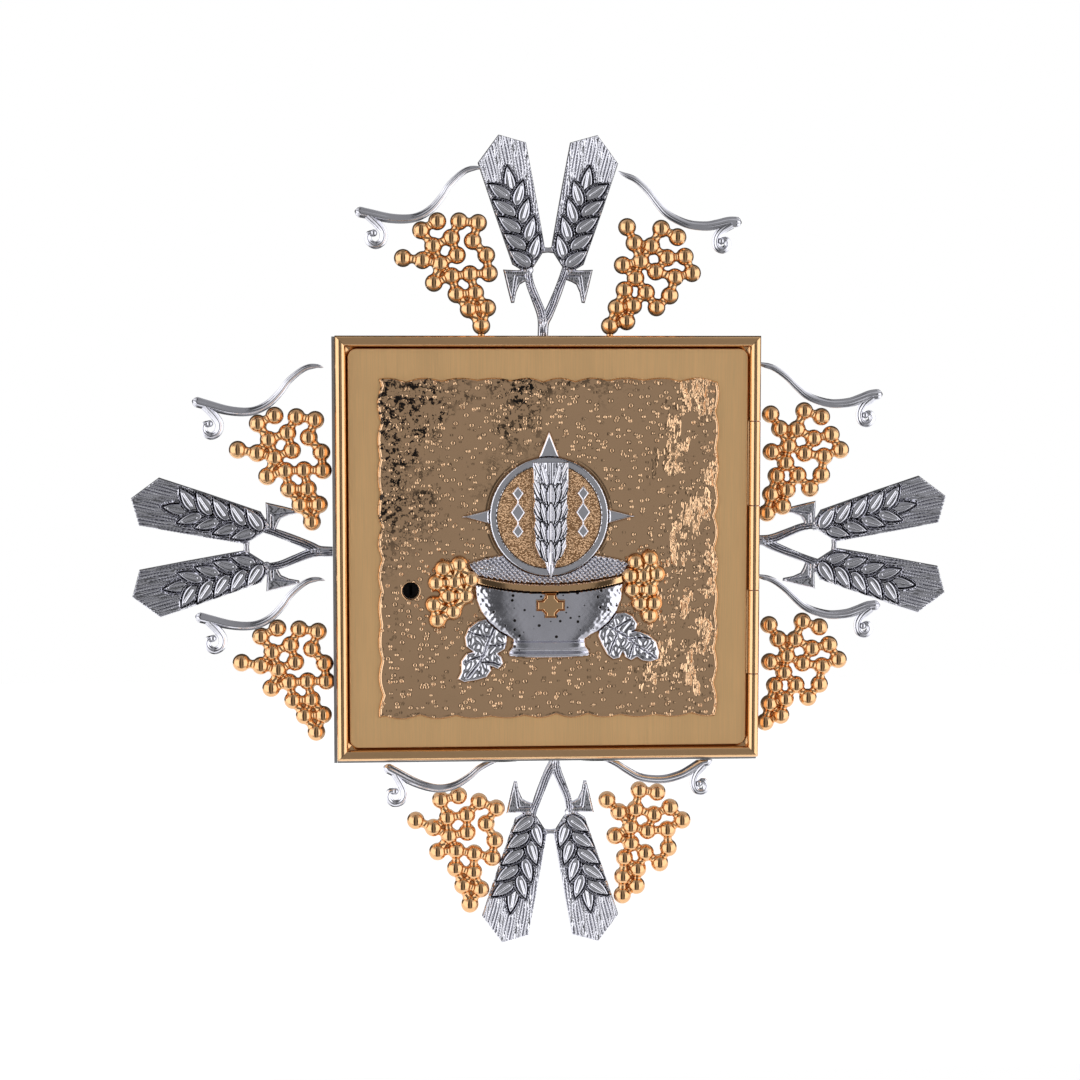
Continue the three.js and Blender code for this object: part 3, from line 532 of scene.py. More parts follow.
def relief(field, low, high, step, back):
    """A closed solid whose front is a height field. field(x, z) gives distance to the outline and height."""
    xs = np.arange(low[0], high[0] + step, step)
    zs = np.arange(low[1], high[1] + step, step)
    x, z = np.meshgrid(xs, zs, indexing="ij")
    distance, _ = field(x, z)
    middle = (distance[:-1, :-1] + distance[1:, :-1] + distance[:-1, 1:] + distance[1:, 1:]) / 4
    inside = np.zeros((x.shape[0] + 1, x.shape[1] + 1), bool)
    inside[1:-1, 1:-1] = middle < 0
    touching = (inside[:-1, :-1].astype(int) + inside[1:, :-1] + inside[:-1, 1:] + inside[1:, 1:])
    edge = (touching > 0) & (touching < 4)
    slope_x, slope_z = np.gradient(distance, step)
    size = slope_x**2 + slope_z**2 + 1e-6
    reach = np.where(edge & (np.abs(distance) < 1.5 * step), distance, 0)
    x = x - reach * slope_x / size
    z = z - reach * slope_z / size
    _, height = field(x, z)
    used = touching > 0
    index = -np.ones(x.shape, int)
    index[used] = np.arange(used.sum())
    count = int(used.sum())
    front = np.column_stack([x[used], back - np.maximum(height[used], 0.05), z[used]])
    rear = np.column_stack([x[used], np.full(count, back), z[used]])
    cells = inside[1:-1, 1:-1]
    i, j = np.nonzero(cells)
    a, b, c, d = index[i, j], index[i + 1, j], index[i + 1, j + 1], index[i, j + 1]
    quads = [np.column_stack([a, b, c, d]), np.column_stack([d, c, b, a]) + count]
    for di, dj, first, second in ((0, -1, a, b), (1, 0, b, c), (0, 1, c, d), (-1, 0, d, a)):
        open_side = ~inside[i + 1 + di, j + 1 + dj]
        p, q = first[open_side], second[open_side]
        quads.append(np.column_stack([q, p, p + count, q + count]))
    faces = np.concatenate(quads).tolist()
    return np.vstack([front, rear]), faces


def door_relief(name, node, field, low, high, step, back, material, sharp=35):
    """A relief piece on the door, standing for one CAD node."""
    vertices, faces = relief(field, low, high, step, back)
    make_piece(name, vertices, faces, "door", material, [node], sharp)


def rounded(distance, radius, height):
    """Height that rises from an outline in a quarter round."""
    t = np.clip(-distance / radius, 0, 1)
    return height * np.sqrt(np.clip(1 - (1 - t) ** 2, 0, 1))


def ripple(x, z, size, amount):
    """Smooth uneven surface of a hand-worked casting."""
    return amount * (
        np.sin(x / size + 1.3 * np.sin(z / size * 0.7))
        * np.cos(z / size * 0.9 + 0.8 * np.sin(x / size * 1.3))
        + 0.5 * np.sin(2.3 * x / size + 2.0) * np.sin(1.9 * z / size + 0.7)
    )


def bell(away, width):
    """1 where away is 0, falling to 0 over about twice the width on both sides."""
    return np.exp(-((away / width) ** 2))


def grooves(across, pitch, width):
    """1 on evenly spaced lines, falling to 0 between them."""
    away = np.abs((across / pitch + 0.5) % 1 - 0.5) * pitch
    return bell(away, width)


# ---------------------------------------------------------------- steel box and lock: CAD shapes
def finish_cad(names, material, bevel):
    for name in names:
        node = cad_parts[name]
        node.data.materials.clear()
        node.data.materials.append(material)
        modifier = node.modifiers.new("edges", "BEVEL")
        modifier.width = bevel * MM
        modifier.segments = 2
        modifier.limit_method = "ANGLE"
        modifier.angle_limit = math.radians(40)
        node.data.polygons.foreach_set("use_smooth", [True] * len(node.data.polygons))
        node.data.set_sharp_from_angle(angle=math.radians(35))


def finish_box_and_lock():
    walls = ["back_panel", "left_wall", "right_wall", "top_wall", "bottom_wall"]
    finish_cad(walls, SHEET_STEEL, 0.4)
    finish_cad(["inner_lining"], LINING_GILT, 0.3)
    lock = ["lock_case", "lock_cover", "lock_screw_1", "lock_screw_2", "lock_bolt", "bolt_keeper"]
    finish_cad(lock + ["hinge_pin"], LOCK_STEEL, 0.2)
    finish_cad(["lock_cylinder"], LOCK_DARK, 0.15)


# ---------------------------------------------------------------- frame and hinge
KNUCKLE_GAP = 0.5
MITRE_GAP = 0.12


def rail_section(bead=True):
    """Points (u, y) round a rail: u is the distance from the middle of the door."""
    inner = FRAME_HALF - FLANGE_WIDTH
    step = FLANGE_BACK - 3
    foot = FRAME_HALF - 6.4
    soft = 0.35
    points = [(inner, FLANGE_BACK), (inner, step + soft), (inner + soft, step)]
    if bead:
        points += [(foot - 0.5, step), (foot, step - 0.3)]
        first, last, steps = math.pi - 0.5, 2 * math.pi, 26
        for i in range(steps + 1):
            turn = first + (last - first) * i / steps
            points.append((HINGE_X + BEAD * math.cos(turn), HINGE_Y + BEAD * math.sin(turn)))
    else:
        points += [(FRAME_HALF - soft, step), (FRAME_HALF, step + soft)]
    points += [(FRAME_HALF, FLANGE_BACK)]
    return points


def rail_part(section, low, high):
    """A length of rail along Z on the +X side; an end given as None is mitred."""
    solid = Solid()

    def ring(i, end):
        mitre = low is None if end < 0 else high is None
        stop = low if end < 0 else high
        return [(u, y, end * (u - MITRE_GAP) if mitre else stop) for u, y in section]

    sweep(solid, (-1, 1), ring)
    return solid


def turned_about_y(solid, angle):
    solid.moved(Matrix.Rotation(angle, 4, "Y"))
    return solid


def build_frame():
    whole = rail_section()
    for node, angle in (("frame_top_rail", -90), ("frame_left_stile", 180), ("frame_bottom_rail", 90)):
        rail = turned_about_y(rail_part(whole, None, None), math.radians(angle))
        solid_piece(rail, node, "_shaped", "cabinet", FRAME_GILT)
    cuts = [
        LOWER_KNUCKLE_LOW.z - KNUCKLE_GAP, LOWER_KNUCKLE_HIGH.z + KNUCKLE_GAP,
        KNUCKLE_LOW.z - KNUCKLE_GAP, KNUCKLE_HIGH.z + KNUCKLE_GAP,
    ]
    stile = Solid()
    for low, high in ((None, cuts[0]), (cuts[1], cuts[2]), (cuts[3], None)):
        part = rail_part(whole, low, high)
        stile.add(part.vertices, part.faces)
    for low, high in (cuts[:2], cuts[2:]):
        part = rail_part(rail_section(False), low, high)
        stile.add(part.vertices, part.faces)
    solid_piece(stile, "frame_hinge_stile", "_shaped", "cabinet", FRAME_GILT)


def build_knuckles():
    chamfer = 0.25
    turns = np.arange(48) * 2 * math.pi / 48
    front = PLATE_LOW.y
    back = PLATE_HIGH.y - 0.4
    root = HINGE_X - 2.4

    def ring(i, station):
        height, radius = station
        return [(HINGE_X + radius * math.cos(t), HINGE_Y + radius * math.sin(t), height) for t in turns]

    for name in ("lower", "upper"):
        node = "door_knuckle_" + name
        low, high = box(node)
        narrow = BEAD - chamfer
        stations = [(low.z, narrow), (low.z + chamfer, BEAD), (high.z - chamfer, BEAD), (high.z, narrow)]
        solid = Solid()
        sweep(solid, stations, ring)
        leaf = [(low.x, back), (low.x, front + 0.2), (low.x + 0.2, front), (root, front), (root, back)]

        def leaf_ring(i, height):
            return [(x, y, height) for x, y in leaf]

        sweep(solid, (low.z + 0.02, high.z - 0.02), leaf_ring)
        solid_piece(solid, node, "_shaped", "door", FRAME_GILT)


# ---------------------------------------------------------------- flat plates with softened edges
def plate_piece(name, loops, back, thick, edge, body, material, nodes):
    """A flat plate from outlines in X and Z, the first outside and the rest holes, edges rounded."""
    curve = bpy.data.curves.new(name + "_outline", "CURVE")
    curve.dimensions = "2D"
    curve.fill_mode = "BOTH"
    curve.extrude = (thick / 2 - edge) * MM
    curve.bevel_depth = edge * MM
    curve.bevel_resolution = 3
    curve.offset = -edge * MM
    for loop in loops:
        spline = curve.splines.new("POLY")
        spline.points.add(len(loop) - 1)
        spline.use_cyclic_u = True
        for point, (x, z) in zip(spline.points, loop):
            point.co = (x * MM, z * MM, 0, 1)
    holder = bpy.data.objects.new(name + "_outline", curve)
    bpy.context.scene.collection.objects.link(holder)
    evaluated = holder.evaluated_get(bpy.context.evaluated_depsgraph_get())
    mesh = bpy.data.meshes.new_from_object(evaluated)
    bpy.data.objects.remove(holder)
    turn = Matrix.Translation((0, (back - thick / 2) * MM, 0)) @ Matrix.Rotation(math.radians(90), 4, "X")
    mesh.transform(turn)
    vertices = [tuple(v.co / MM) for v in mesh.vertices]
    faces = [tuple(p.vertices) for p in mesh.polygons]
    bpy.data.meshes.remove(mesh)
    return make_piece(name, vertices, faces, body, material, nodes, sharp=40)


def arc(x, z, radius, start, end, steps):
    turns = [math.radians(start + (end - start) * i / steps) for i in range(steps + 1)]
    return [(x + radius * math.cos(t), z + radius * math.sin(t)) for t in turns]


def round_square(half, radius):
    inner = half - radius
    loop = arc(inner, inner, radius, 0, 90, 8) + arc(-inner, inner, radius, 90, 180, 8)
    return loop + arc(-inner, -inner, radius, 180, 270, 8) + arc(inner, -inner, radius, 270, 360, 8)


def build_door_plate():
    keyhole = arc(*KEYHOLE, KEYHOLE_RADIUS, 0, 360, 40)[:-1]
    thick = PLATE_HIGH.y - PLATE_LOW.y
    plate_piece("door_plate_brushed", [round_square(PLATE_HIGH.x, 6.5), keyhole], PLATE_HIGH.y, thick, 0.7,
                "door", BRUSHED_GILT, ["door_plate"])


# ---------------------------------------------------------------- plaque
SCALLOPS = 10
PLAQUE_HALF = PLAQUE_HIGH.x
PLAQUE_NOTCH = 2.8


def plaque_distance(x, z):
    """Distance to the scalloped edge, negative inside."""
    pitch = 2 * PLAQUE_HALF / SCALLOPS

    def dip(along):
        wave = np.abs(np.sin(math.pi * (along + PLAQUE_HALF) / pitch + 0.25 * np.sin(along / 31.0)))
        return PLAQUE_NOTCH * (1 - wave) * (0.75 + 0.25 * np.sin(along / 17.0 + 1.0))

    right = x - (PLAQUE_HALF - dip(z))
    left = -x - (PLAQUE_HALF - dip(z + 7))
    top = z - (PLAQUE_HALF - dip(x + 4))
    low = -z - (PLAQUE_HALF - dip(x - 5))
    return np.maximum(np.maximum(right, left), np.maximum(top, low))


def build_plaque():
    def field(x, z):
        edge = plaque_distance(x, z)
        hole = KEYHOLE_RADIUS - np.hypot(x - KEYHOLE[0], z - KEYHOLE[1])
        distance = np.maximum(edge, hole)
        height = 0.9 + ripple(x, z, 9.0, 0.03) + 0.65 * bell(edge + 1.1, 0.6)
        ring = np.hypot(x, z - HALO_Z) - HALO_OUTER
        height = height + 0.3 * bell(ring - 1.6, 0.9)
        return distance, rounded(distance, 0.7, np.clip(height, 0.5, 1.7))

    half = PLAQUE_HALF + 1
    door_relief("door_plaque_punched", "door_plaque", field, (-half, -half), (half, half), 0.5, PLAQUE_HIGH.y,
                PLAQUE_GILT, sharp=0)


# ---------------------------------------------------------------- halo
def build_halo():
    reach = HALO_OUTER + 1
    low, high = (-reach, HALO_Z - reach), (reach, HALO_Z + reach)

    def whole_ring(x, z):
        r = np.hypot(x, z - HALO_Z)
        distance = np.maximum(r - HALO_OUTER, HALO_INNER - r)
        outer = bell(r - HALO_OUTER + 0.55, 0.32)
        inner = bell(r - HALO_INNER - 0.45, 0.30) * (0.6 + 0.4 * np.sin(x * 2.1) * np.cos(z * 1.7))
        return distance, rounded(distance, 0.3, 1.55 + 0.4 * outer + 0.35 * inner)

    door_relief("halo_ring_shaped", "halo_ring", whole_ring, low, high, 0.32, RELIEF_BACK,
                RELIEF_SILVER)

    def disc_field(x, z):
        distance = np.hypot(x, z - HALO_Z) - (HALO_INNER - 0.2)
        return distance, 0.55 + ripple(x, z, 3.0, 0.05)

    door_relief("halo_disc_grained", "halo_disc", disc_field, low, high, 0.6, RELIEF_BACK,
                DISC_GILT)

    for name, turn in (("ray_top", 0), ("ray_left", 90), ("ray_right", -90)):
        node_low, node_high = box(name)
        across = (node_high.x - node_low.x) if turn == 0 else (node_high.z - node_low.z)
        tip = {0: node_high.z - HALO_Z, 90: -node_low.x, -90: node_high.x}[turn]
        base = math.sqrt((HALO_OUTER + 0.3) ** 2 - (across / 2) ** 2)
        half = across / 2
        loop = [(-half, base), (0, tip), (half, base), (0, HALO_OUTER + 0.3)]

        def ray_field(x, z):
            distance = polygon_distance(x, z, loop)
            lip = 0.5 * bell(distance + 0.75, 0.35)
            return distance, rounded(distance, 0.4, 1.1 + lip)

        vertices, faces = relief(ray_field, (-half - 1, base - 2), (half + 1, tip + 1), 0.28, RELIEF_BACK)
        spike = Solid()
        spike.add(vertices, faces)
        spike.moved(Matrix.Translation((0, 0, HALO_Z)) @ Matrix.Rotation(math.radians(-turn), 4, "Y"))
        solid_piece(spike, name, "_cut", "door", RELIEF_SILVER)

    for name in ("halo_drop_left", "halo_drop_right"):
        node_low, node_high = box(name)
        centre = (node_low.x + node_high.x) / 2
        right = [
            (0, 45), (4.5, 39.5), (1, 34.5), (1, 32.5), (5.5, 26), (1, 19.5), (1, 17.5), (4.5, 12.5), (0, 7),
        ]
        loop = [(centre + x, z) for x, z in right] + [(centre - x, z) for x, z in reversed(right[1:-1])]

        def field(x, z):
            distance = polygon_distance(x, z, loop)
            lip = 0.5 * bell(distance + 0.7, 0.35)
            return distance, rounded(distance, 0.4, 1.0 + lip)

        door_relief(name + "_cut", name, field, (centre - 7, 6), (centre + 7, 46), 0.3, node_high.y,
                    RELIEF_SILVER)


# ---------------------------------------------------------------- grains of wheat
def grain_shape(x, z, centre, lean, long, wide, round_end=0.55, point=0.95):
    """Distance inside a pointed grain, positive inside: lean is degrees clockwise from up."""
    angle = math.radians(lean)
    along = (x - centre[0]) * math.sin(angle) + (z - centre[1]) * math.cos(angle)
    across = (x - centre[0]) * math.cos(angle) - (z - centre[1]) * math.sin(angle)
    t = np.clip(along / (long / 2), -1, 1)
    width = (1 + t) ** round_end * (1 - t) ** point
    peak = (2 * round_end / (round_end + point)) ** round_end * (2 * point / (round_end + point)) ** point
    half = wide / 2 * width / peak
    over = np.maximum(np.abs(along) - long / 2, 0)
    return np.where(over > 0, -np.hypot(over, np.abs(across)), half - np.abs(across)), across, along


def lay_grain(height, x, z, centre, lean, long, wide, top, ground):
    """Lays one grain with its groove and thin husk over what is already there."""
    inside, across, along = grain_shape(x, z, centre, lean, long, wide)
    groove = 0.7 * bell(across - 0.4, 0.55) * (np.abs(along) < long * 0.3)
    dome = top - 0.8 * np.clip(np.abs(across) / (wide / 2), 0, 1) ** 4 - groove
    body = ground + (dome - ground) * np.sqrt(np.clip(inside / 1.1, 0, 1))
    husk = ground + (top - ground) * 1.05 * bell(inside + 1.15, 0.5)
    laid = np.where(inside > 0, body, np.where(inside > -0.2, ground - 0.2, husk))
    return np.where(inside > -1.9, laid, height)


def lay_leaf(height, x, z, centre, lean, long, wide, top, ground):
    """Lays one ridged leaf-shaped kernel with a fine dark edge."""
    inside, across, _ = grain_shape(x, z, centre, lean, long, wide, 0.7, 0.9)
    slope = np.clip(1 - np.abs(across) / (wide / 2), 0, 1)
    ridge = ground + (top - ground) * slope + 0.25 * np.sin(across * 3.1)
    return np.where(inside > 0.15, ridge, np.where(inside > -0.35, ground - 1.0, height))


# ---------------------------------------------------------------- wheat ear on the door
EAR_CENTRE = (box("door_wheat_ear")[0].x + box("door_wheat_ear")[1].x) / 2
EAR_SIDE = [
    (0, -22), (2.4, -15), (4.5, -9), (8.5, -5), (11.5, 3), (11.0, 8), (12.3, 15), (11.2, 21), (12.6, 28),
    (11.6, 34), (12.7, 42), (12.7, 61.5),
]


def build_door_ear():
    loop = [(EAR_CENTRE + x, z) for x, z in EAR_SIDE]
    loop += [(EAR_CENTRE - x, z) for x, z in reversed(EAR_SIDE[1:])]

    def field(x, z):
        distance = polygon_distance(x, z, loop)
        u = x - EAR_CENTRE
        fan = 1 + 0.004 * (z - 48)
        awns = 1.55 + 0.5 * np.abs(np.sin(math.pi * u / fan / 2.1)) + 0.15 * np.sin(u * 5.1)
        height = awns
        for k in (4, 3, 2, 1, 0):
            base = -8 + 13.4 * k
            for side in (-1, 1):
                outer = (EAR_CENTRE + side * 8.3, base + 9.5)
                height = lay_leaf(height, x, z, outer, side * 24, 16.5, 6.6, 3.1, 1.7)
                inner = (EAR_CENTRE + side * 4.6, base + 7.0)
                height = lay_leaf(height, x, z, inner, side * 15, 15.5, 5.4, 3.6, 1.9)
            if k < 4:
                centre = (EAR_CENTRE, base + 6.0)
                height = lay_leaf(height, x, z, centre, 0, 17, 6.8, 4.3, 2.1)
        stem_away, _, _ = path_distance(x, z, [(EAR_CENTRE, -22), (EAR_CENTRE, -2)])
        stem = 3.4 * np.sqrt(np.clip(1 - (stem_away / 2.3) ** 2, 0, 1)) + 0.6
        height = np.where((stem_away < 2.2) & (z < -2), np.maximum(stem, height), height)
        height = np.where(z > 46.5, np.maximum(awns, np.where(height > 2.0, height, awns)), height)
        return distance, rounded(distance, 0.7, height)

    low, high = (EAR_CENTRE - 14, -23), (EAR_CENTRE + 14, 63)
    back = box("door_wheat_ear")[1].y - 1.2
    door_relief("door_wheat_ear_cast", "door_wheat_ear", field, low, high, 0.28, back,
                RELIEF_SILVER)


# ---------------------------------------------------------------- chalice and bread
RIM_HALF = 53.0
RIM_Z = -24.0
RIM_SAG = 6.5
BAND = 5.4
WAIST_Z = -63.8
BASE_Z = -77.2
BULGE = 0.19


def rim_line(x):
    return RIM_Z - RIM_SAG * (1 - np.clip(x / RIM_HALF, -1, 1) ** 2)


def bowl_half(z):
    """Half-width of the bowl and its foot at a height."""
    steps = ((0, 27.0), (1.2, 28.6), (4.5, 28.7), (6.2, 27.6), (8.5, 25.8))
    foot = [(BASE_Z + up, half) for up, half in steps]
    rise = ((0, 25.6), (2, 28.5), (6, 35.5), (12, 42.5), (20, 48.3), (29, 51.8))
    bowl = [(WAIST_Z + up, half) for up, half in rise]
    heights, halves = zip(*foot, *bowl, (RIM_Z, RIM_HALF), (RIM_Z + 10, RIM_HALF))
    return np.interp(z, heights, halves)


def build_chalice():
    def bowl_field(x, z):
        half = bowl_half(z)
        distance = np.maximum(np.abs(x) - half, z - rim_line(x))
        distance = np.maximum(distance, BASE_Z + 1.6 * (np.abs(x) / 28.7) ** 3 - z)
        round_front = BULGE * half * (1 - np.clip(np.abs(x) / half, 0, 1) ** 3.2) ** 0.7
        step = 1.1 * bell(z - BASE_Z - 1.6, 1.0) + 0.9 * bell(z - BASE_Z - 6.4, 0.9)
        on_foot = smoothstep(z, WAIST_Z + 1, WAIST_Z - 2)
        step = step - 1.1 * bell(z - BASE_Z - 4.0, 0.6)
        step = step - 1.2 * bell(z - WAIST_Z + 1.6, 0.7)
        worked = 0.015 + 0.2 * smoothstep(np.abs(x) / half, 0.66, 0.95)
        height = 0.6 * round_front + 1.6 + on_foot * step + (1 - on_foot) * worked * ripple(x, z, 1.5, 1.0)
        return distance, rounded(distance, 0.8, height)

    door_relief("chalice_bowl_hammered", "chalice_bowl", bowl_field, (-55, -79), (55, -23), 0.4, RELIEF_BACK,
                BOWL_SILVER)

    def band_field(x, z):
        middle = rim_line(x) + 0.3 + BAND / 2
        distance = np.maximum(np.abs(z - middle) - BAND / 2, np.abs(x) - RIM_HALF + 0.6)
        depth = BULGE * RIM_HALF * (1 - np.clip(np.abs(x) / (RIM_HALF + 1), 0, 1) ** 3.2) ** 0.7
        return distance, rounded(distance, 0.8, 0.6 * depth + 2.3)

    door_relief("chalice_rim_band", "chalice_rim", band_field, (-54, -32), (54, -17), 0.35, RELIEF_BACK,
                RELIEF_GILT)

    build_cross()
    build_bread()


def build_cross():
    cross_low, cross_high = box("chalice_cross")
    cx, cz = (cross_low.x + cross_high.x) / 2, (cross_low.z + cross_high.z) / 2
    half_x, half_z = (cross_high.x - cross_low.x) / 2, (cross_high.z - cross_low.z) / 2

    def cross_field(x, z):
        u, v = np.abs(x - cx), np.abs(z - cz)
        upright = np.maximum(u - 4.3, v - half_z)
        beam = np.maximum(u - half_x, v - 4.1)
        body = np.maximum(np.maximum(u, v) - 6.4, 1.9 - np.hypot(u - 6.5, v - 6.3))
        distance = np.minimum(np.minimum(upright, beam), body)
        lip = 0.9 * bell(distance + 0.55, 0.3)
        face = 1.2 * rounded(distance + 1.35, 0.8, 1.0)
        return distance, rounded(distance, 0.35, 1.3 + lip + face)

    low, high = (cx - 12, cz - 11), (cx + 12, cz + 11)
    door_relief("chalice_cross_cast", "chalice_cross", cross_field, low, high, 0.3, cross_high.y,
                RELIEF_GILT)


def build_bread():
    top = [
        (-57, -10), (-50, -7.6), (-42, -5.6), (-32, -4), (0, -3.4),
        (33, -4.5), (43, -6), (50, -7.6), (56, -10),
    ]

    def bread_field(x, z):
        upper = np.interp(x, [p[0] for p in top], [p[1] for p in top])
        lower = rim_line(x) + 0.6 + BAND
        lower = np.where(np.abs(x) > 50, np.maximum(lower, -24 + (np.abs(x) - 50) * 2.0), lower)
        distance = np.maximum(z - upper, lower - z)
        ring = HALO_OUTER + 0.3 - np.hypot(x, z - HALO_Z)
        distance = np.maximum(distance, ring)
        distance = np.maximum(distance, np.abs(x) - 56.5)
        hatch = 0.7 - 1.1 * grooves(x + 0.9 * z, 3.4, 0.8)
        hatch = hatch - grooves(x - 1.6 * z + np.sin(x / 4), 4.8, 0.8)
        hatch = hatch + 0.5 * bell(z - upper + 0.9, 0.4)
        dip = 1.5 * np.exp(-(((x + 44) / 8) ** 2 + ((z + 14.5) / 2.2) ** 2))
        return distance, rounded(distance, 0.8, np.maximum(1.2 + hatch - dip, 0.2))

    door_relief("bread_heap", "bread", bread_field, (-58, -33), (58, -2), 0.35, RELIEF_BACK,
                RELIEF_SILVER)


# ---------------------------------------------------------------- vine on the door
DOOR_BERRIES = {
    "left": [
        (-63.3, -10.7), (-74.5, -13.5), (-79.4, -23.5), (-66.6, -22.9), (-55.2, -21.1), (-71.1, -32.7),
        (-58.9, -32.7), (-81.3, -38.8), (-67.8, -43.7), (-78.8, -49.8),
    ],
    "right": [
        (61.4, -9.5), (71.4, -7), (57.4, -19.2), (67.1, -19.2), (76.3, -18), (59.2, -29), (71.4, -29),
        (64.7, -38.8), (74.4, -38.8), (71.4, -47.4),
    ],
}
LEAVES = {
    "left": [
        (-44, -49), (-50, -50), (-57, -55), (-60, -62), (-59, -69), (-54, -72.5), (-58.5, -73.5), (-62.5, -79),
        (-62.5, -87), (-65, -92), (-60, -94.5), (-51, -93), (-44, -91), (-40.5, -86), (-41.5, -83),
        (-36, -85.5), (-32, -81), (-33.5, -76), (-36, -74), (-31, -71), (-29.5, -65), (-29.5, -59), (-36, -53),
    ],
    "right": [
        (47.6, -45.6), (54, -44.5), (59.5, -47), (63.4, -53), (62, -57.5), (59, -59), (64, -58), (70, -60.5),
        (76.5, -66), (79, -74), (78, -79), (72, -81), (66, -80), (62.5, -77.5), (58.5, -80), (54, -77.5),
        (52.5, -73.5), (50.5, -78), (45.5, -79), (41, -75.5), (37.5, -69), (34.5, -62), (36, -55),
    ],
}
VEINS = {
    "left": [
        [(-37, -52), (-43, -65), (-48, -78), (-58, -91)], [(-42, -62), (-52, -60), (-57, -58)],
        [(-44, -68), (-36, -68), (-31, -67)], [(-46, -75), (-53, -77), (-60, -80)],
        [(-48, -80), (-41, -80), (-35, -82)],
    ],
    "right": [
        [(39, -53), (51, -60), (63, -69), (76, -78)], [(46, -57), (54, -52), (58, -50)],
        [(49, -59), (45, -68), (43, -74)], [(57, -64), (66, -63), (72, -64)],
        [(60, -67), (58, -73), (57, -77)],
    ],
}


def join_pairs(points, reach):
    """Pairs closer than reach, and the nearest neighbour of each point that is on its own."""
    pairs = set()
    for i, a in enumerate(points):
        distances = [math.dist(a, b) if i != j else 1e9 for j, b in enumerate(points)]
        pairs.add(tuple(sorted((i, int(np.argmin(distances))))))
        pairs.update(tuple(sorted((i, j))) for j, d in enumerate(distances) if d < reach)
    return sorted(pairs)


def build_vine():
    berry_y = box("door_grapes_left")[0].y + DOOR_BERRY * 0.95
    for side, points in DOOR_BERRIES.items():
        grapes = Solid()
        for i, (x, z) in enumerate(points):
            add_ball(grapes, (x, berry_y - 0.25 * (i % 3), z), DOOR_BERRY)
        grapes.vertices = [(x, min(y, RELIEF_BACK), z) for x, y, z in grapes.vertices]
        pairs = join_pairs(points, DOOR_BERRY_REACH)
        for a, b in pairs:
            if math.dist(points[a], points[b]) > 2 * DOOR_BERRY - 1.2:
                add_neck(grapes, points[a], points[b], DOOR_BERRY, DOOR_NECK, berry_y)
        add_webs(grapes, points, pairs, berry_y)
        grapes.vertices = [(x, min(y, RELIEF_BACK), z) for x, y, z in grapes.vertices]
        solid_piece(grapes, "door_grapes_" + side, "_cast", "door", RELIEF_GILT, 60)

        loop = LEAVES[side]

        def field(x, z):
            distance = polygon_distance(x, z, loop)
            groove = np.zeros(x.shape)
            bank = np.zeros(x.shape)
            for k, path in enumerate(VEINS[side]):
                away, share, _ = path_distance(x, z, smooth_path(path, 14))
                width = 0.55 if k == 0 else 0.42
                groove = np.maximum(groove, bell(away, width))
                bank = np.maximum(bank, bell(away - 1.5, 0.6) * (1 - 0.6 * share))
            edge = 2.3 * np.sqrt(np.clip(1 - (1 + np.clip(distance, -2.4, 0) / 2.4) ** 2, 0, 1))
            folds = 0.55 * np.sin(0.8 * x + 1.4 * np.sin(0.4 * z)) * np.sin(0.6 * z + 1.3 * np.sin(0.4 * x))
            height = 0.3 + edge - 1.5 * groove + 0.25 * bank + folds * smoothstep(-distance, 1.5, 3.5)
            bowl = np.maximum(np.abs(x) - bowl_half(z) - 0.4, z - RIM_Z)
            distance = np.maximum(distance, -bowl)
            return distance, rounded(distance, 0.8, np.clip(height, 0.4, 3.1))

        low = [min(point[k] for point in loop) - 1 for k in (0, 1)]
        high = [max(point[k] for point in loop) + 1 for k in (0, 1)]
        door_relief(f"vine_leaf_{side}_cast", f"vine_leaf_{side}", field, low, high, 0.35, RELIEF_BACK,
                    RELIEF_SILVER)


# ---------------------------------------------------------------- grape and tendril castings
# Size of the castings against the drawings of their patterns.
GRAPE_SIZE = 0.97
WHEAT_SIZE = 0.975
LEFT_UNIT = {
    "berries": [
        (0, 0), (-9.1, 11.9), (4.3, 13), (-18, 22.8), (-4.4, 23.9), (-34.3, 31), (-21.3, 35.8), (-8.1, 37.3),
        (5.6, 38), (-56.6, 48.8), (-42.5, 47.3), (-29.6, 44.9), (-17.6, 51), (3.7, 51), (-34.7, 57.5),
        (-21.7, 63.4), (-6.1, 61.2), (-43.4, 68.8), (-31.7, 75.3), (-15.9, 75.3), (-2.2, 74.2),
    ],
    "tendril": [
        (1.5, 112.5), (-4, 113.2), (-12.6, 110.5), (-22.6, 101.5), (-28.6, 92.5), (-36.1, 83.9),
        (-44.6, 78.6), (-53.6, 76.6), (-65.6, 77), (-78.6, 79.5), (-91.1, 82.1),
    ],
    "curl": [
        (-81.6, 79.2), (-74.5, 72.5), (-70.6, 66.8), (-71.4, 60.6), (-76.2, 57.6), (-81, 60.3), (-81.3, 65),
        (-77.6, 66.4),
    ],
}
RIGHT_UNIT = {
    "berries": [
        (0, 0), (12.2, 3.3), (4.8, 13.2), (17.1, 14.8), (34.1, 13.5), (10.6, 26), (26.5, 24.3), (43.8, 22.1),
        (18.7, 34.7), (33.4, 39.5), (47.5, 35.4), (60.1, 38.4), (9.3, 44.1), (22.4, 46.7), (41.7, 49.5),
        (54.7, 50.4), (30.2, 57.9), (17.8, 60.1), (49.3, 64.5), (37.3, 70.5), (12.4, 71.6),
    ],
    "tendril": [
        (5.2, 111.4), (9.5, 109), (18.2, 105), (26.8, 97.2), (33.6, 88.6), (39.7, 81.8), (47.4, 77),
        (57.7, 73.2), (69.7, 72.2), (78.2, 73.5), (86.9, 75.3), (95.5, 74.8),
    ],
    "curl": [
        (88, 73.6), (81, 69.2), (77, 63.4), (77.4, 57.2), (81.9, 55), (85.4, 58.2), (84.2, 62.2), (80.6, 61.4),
    ],
}
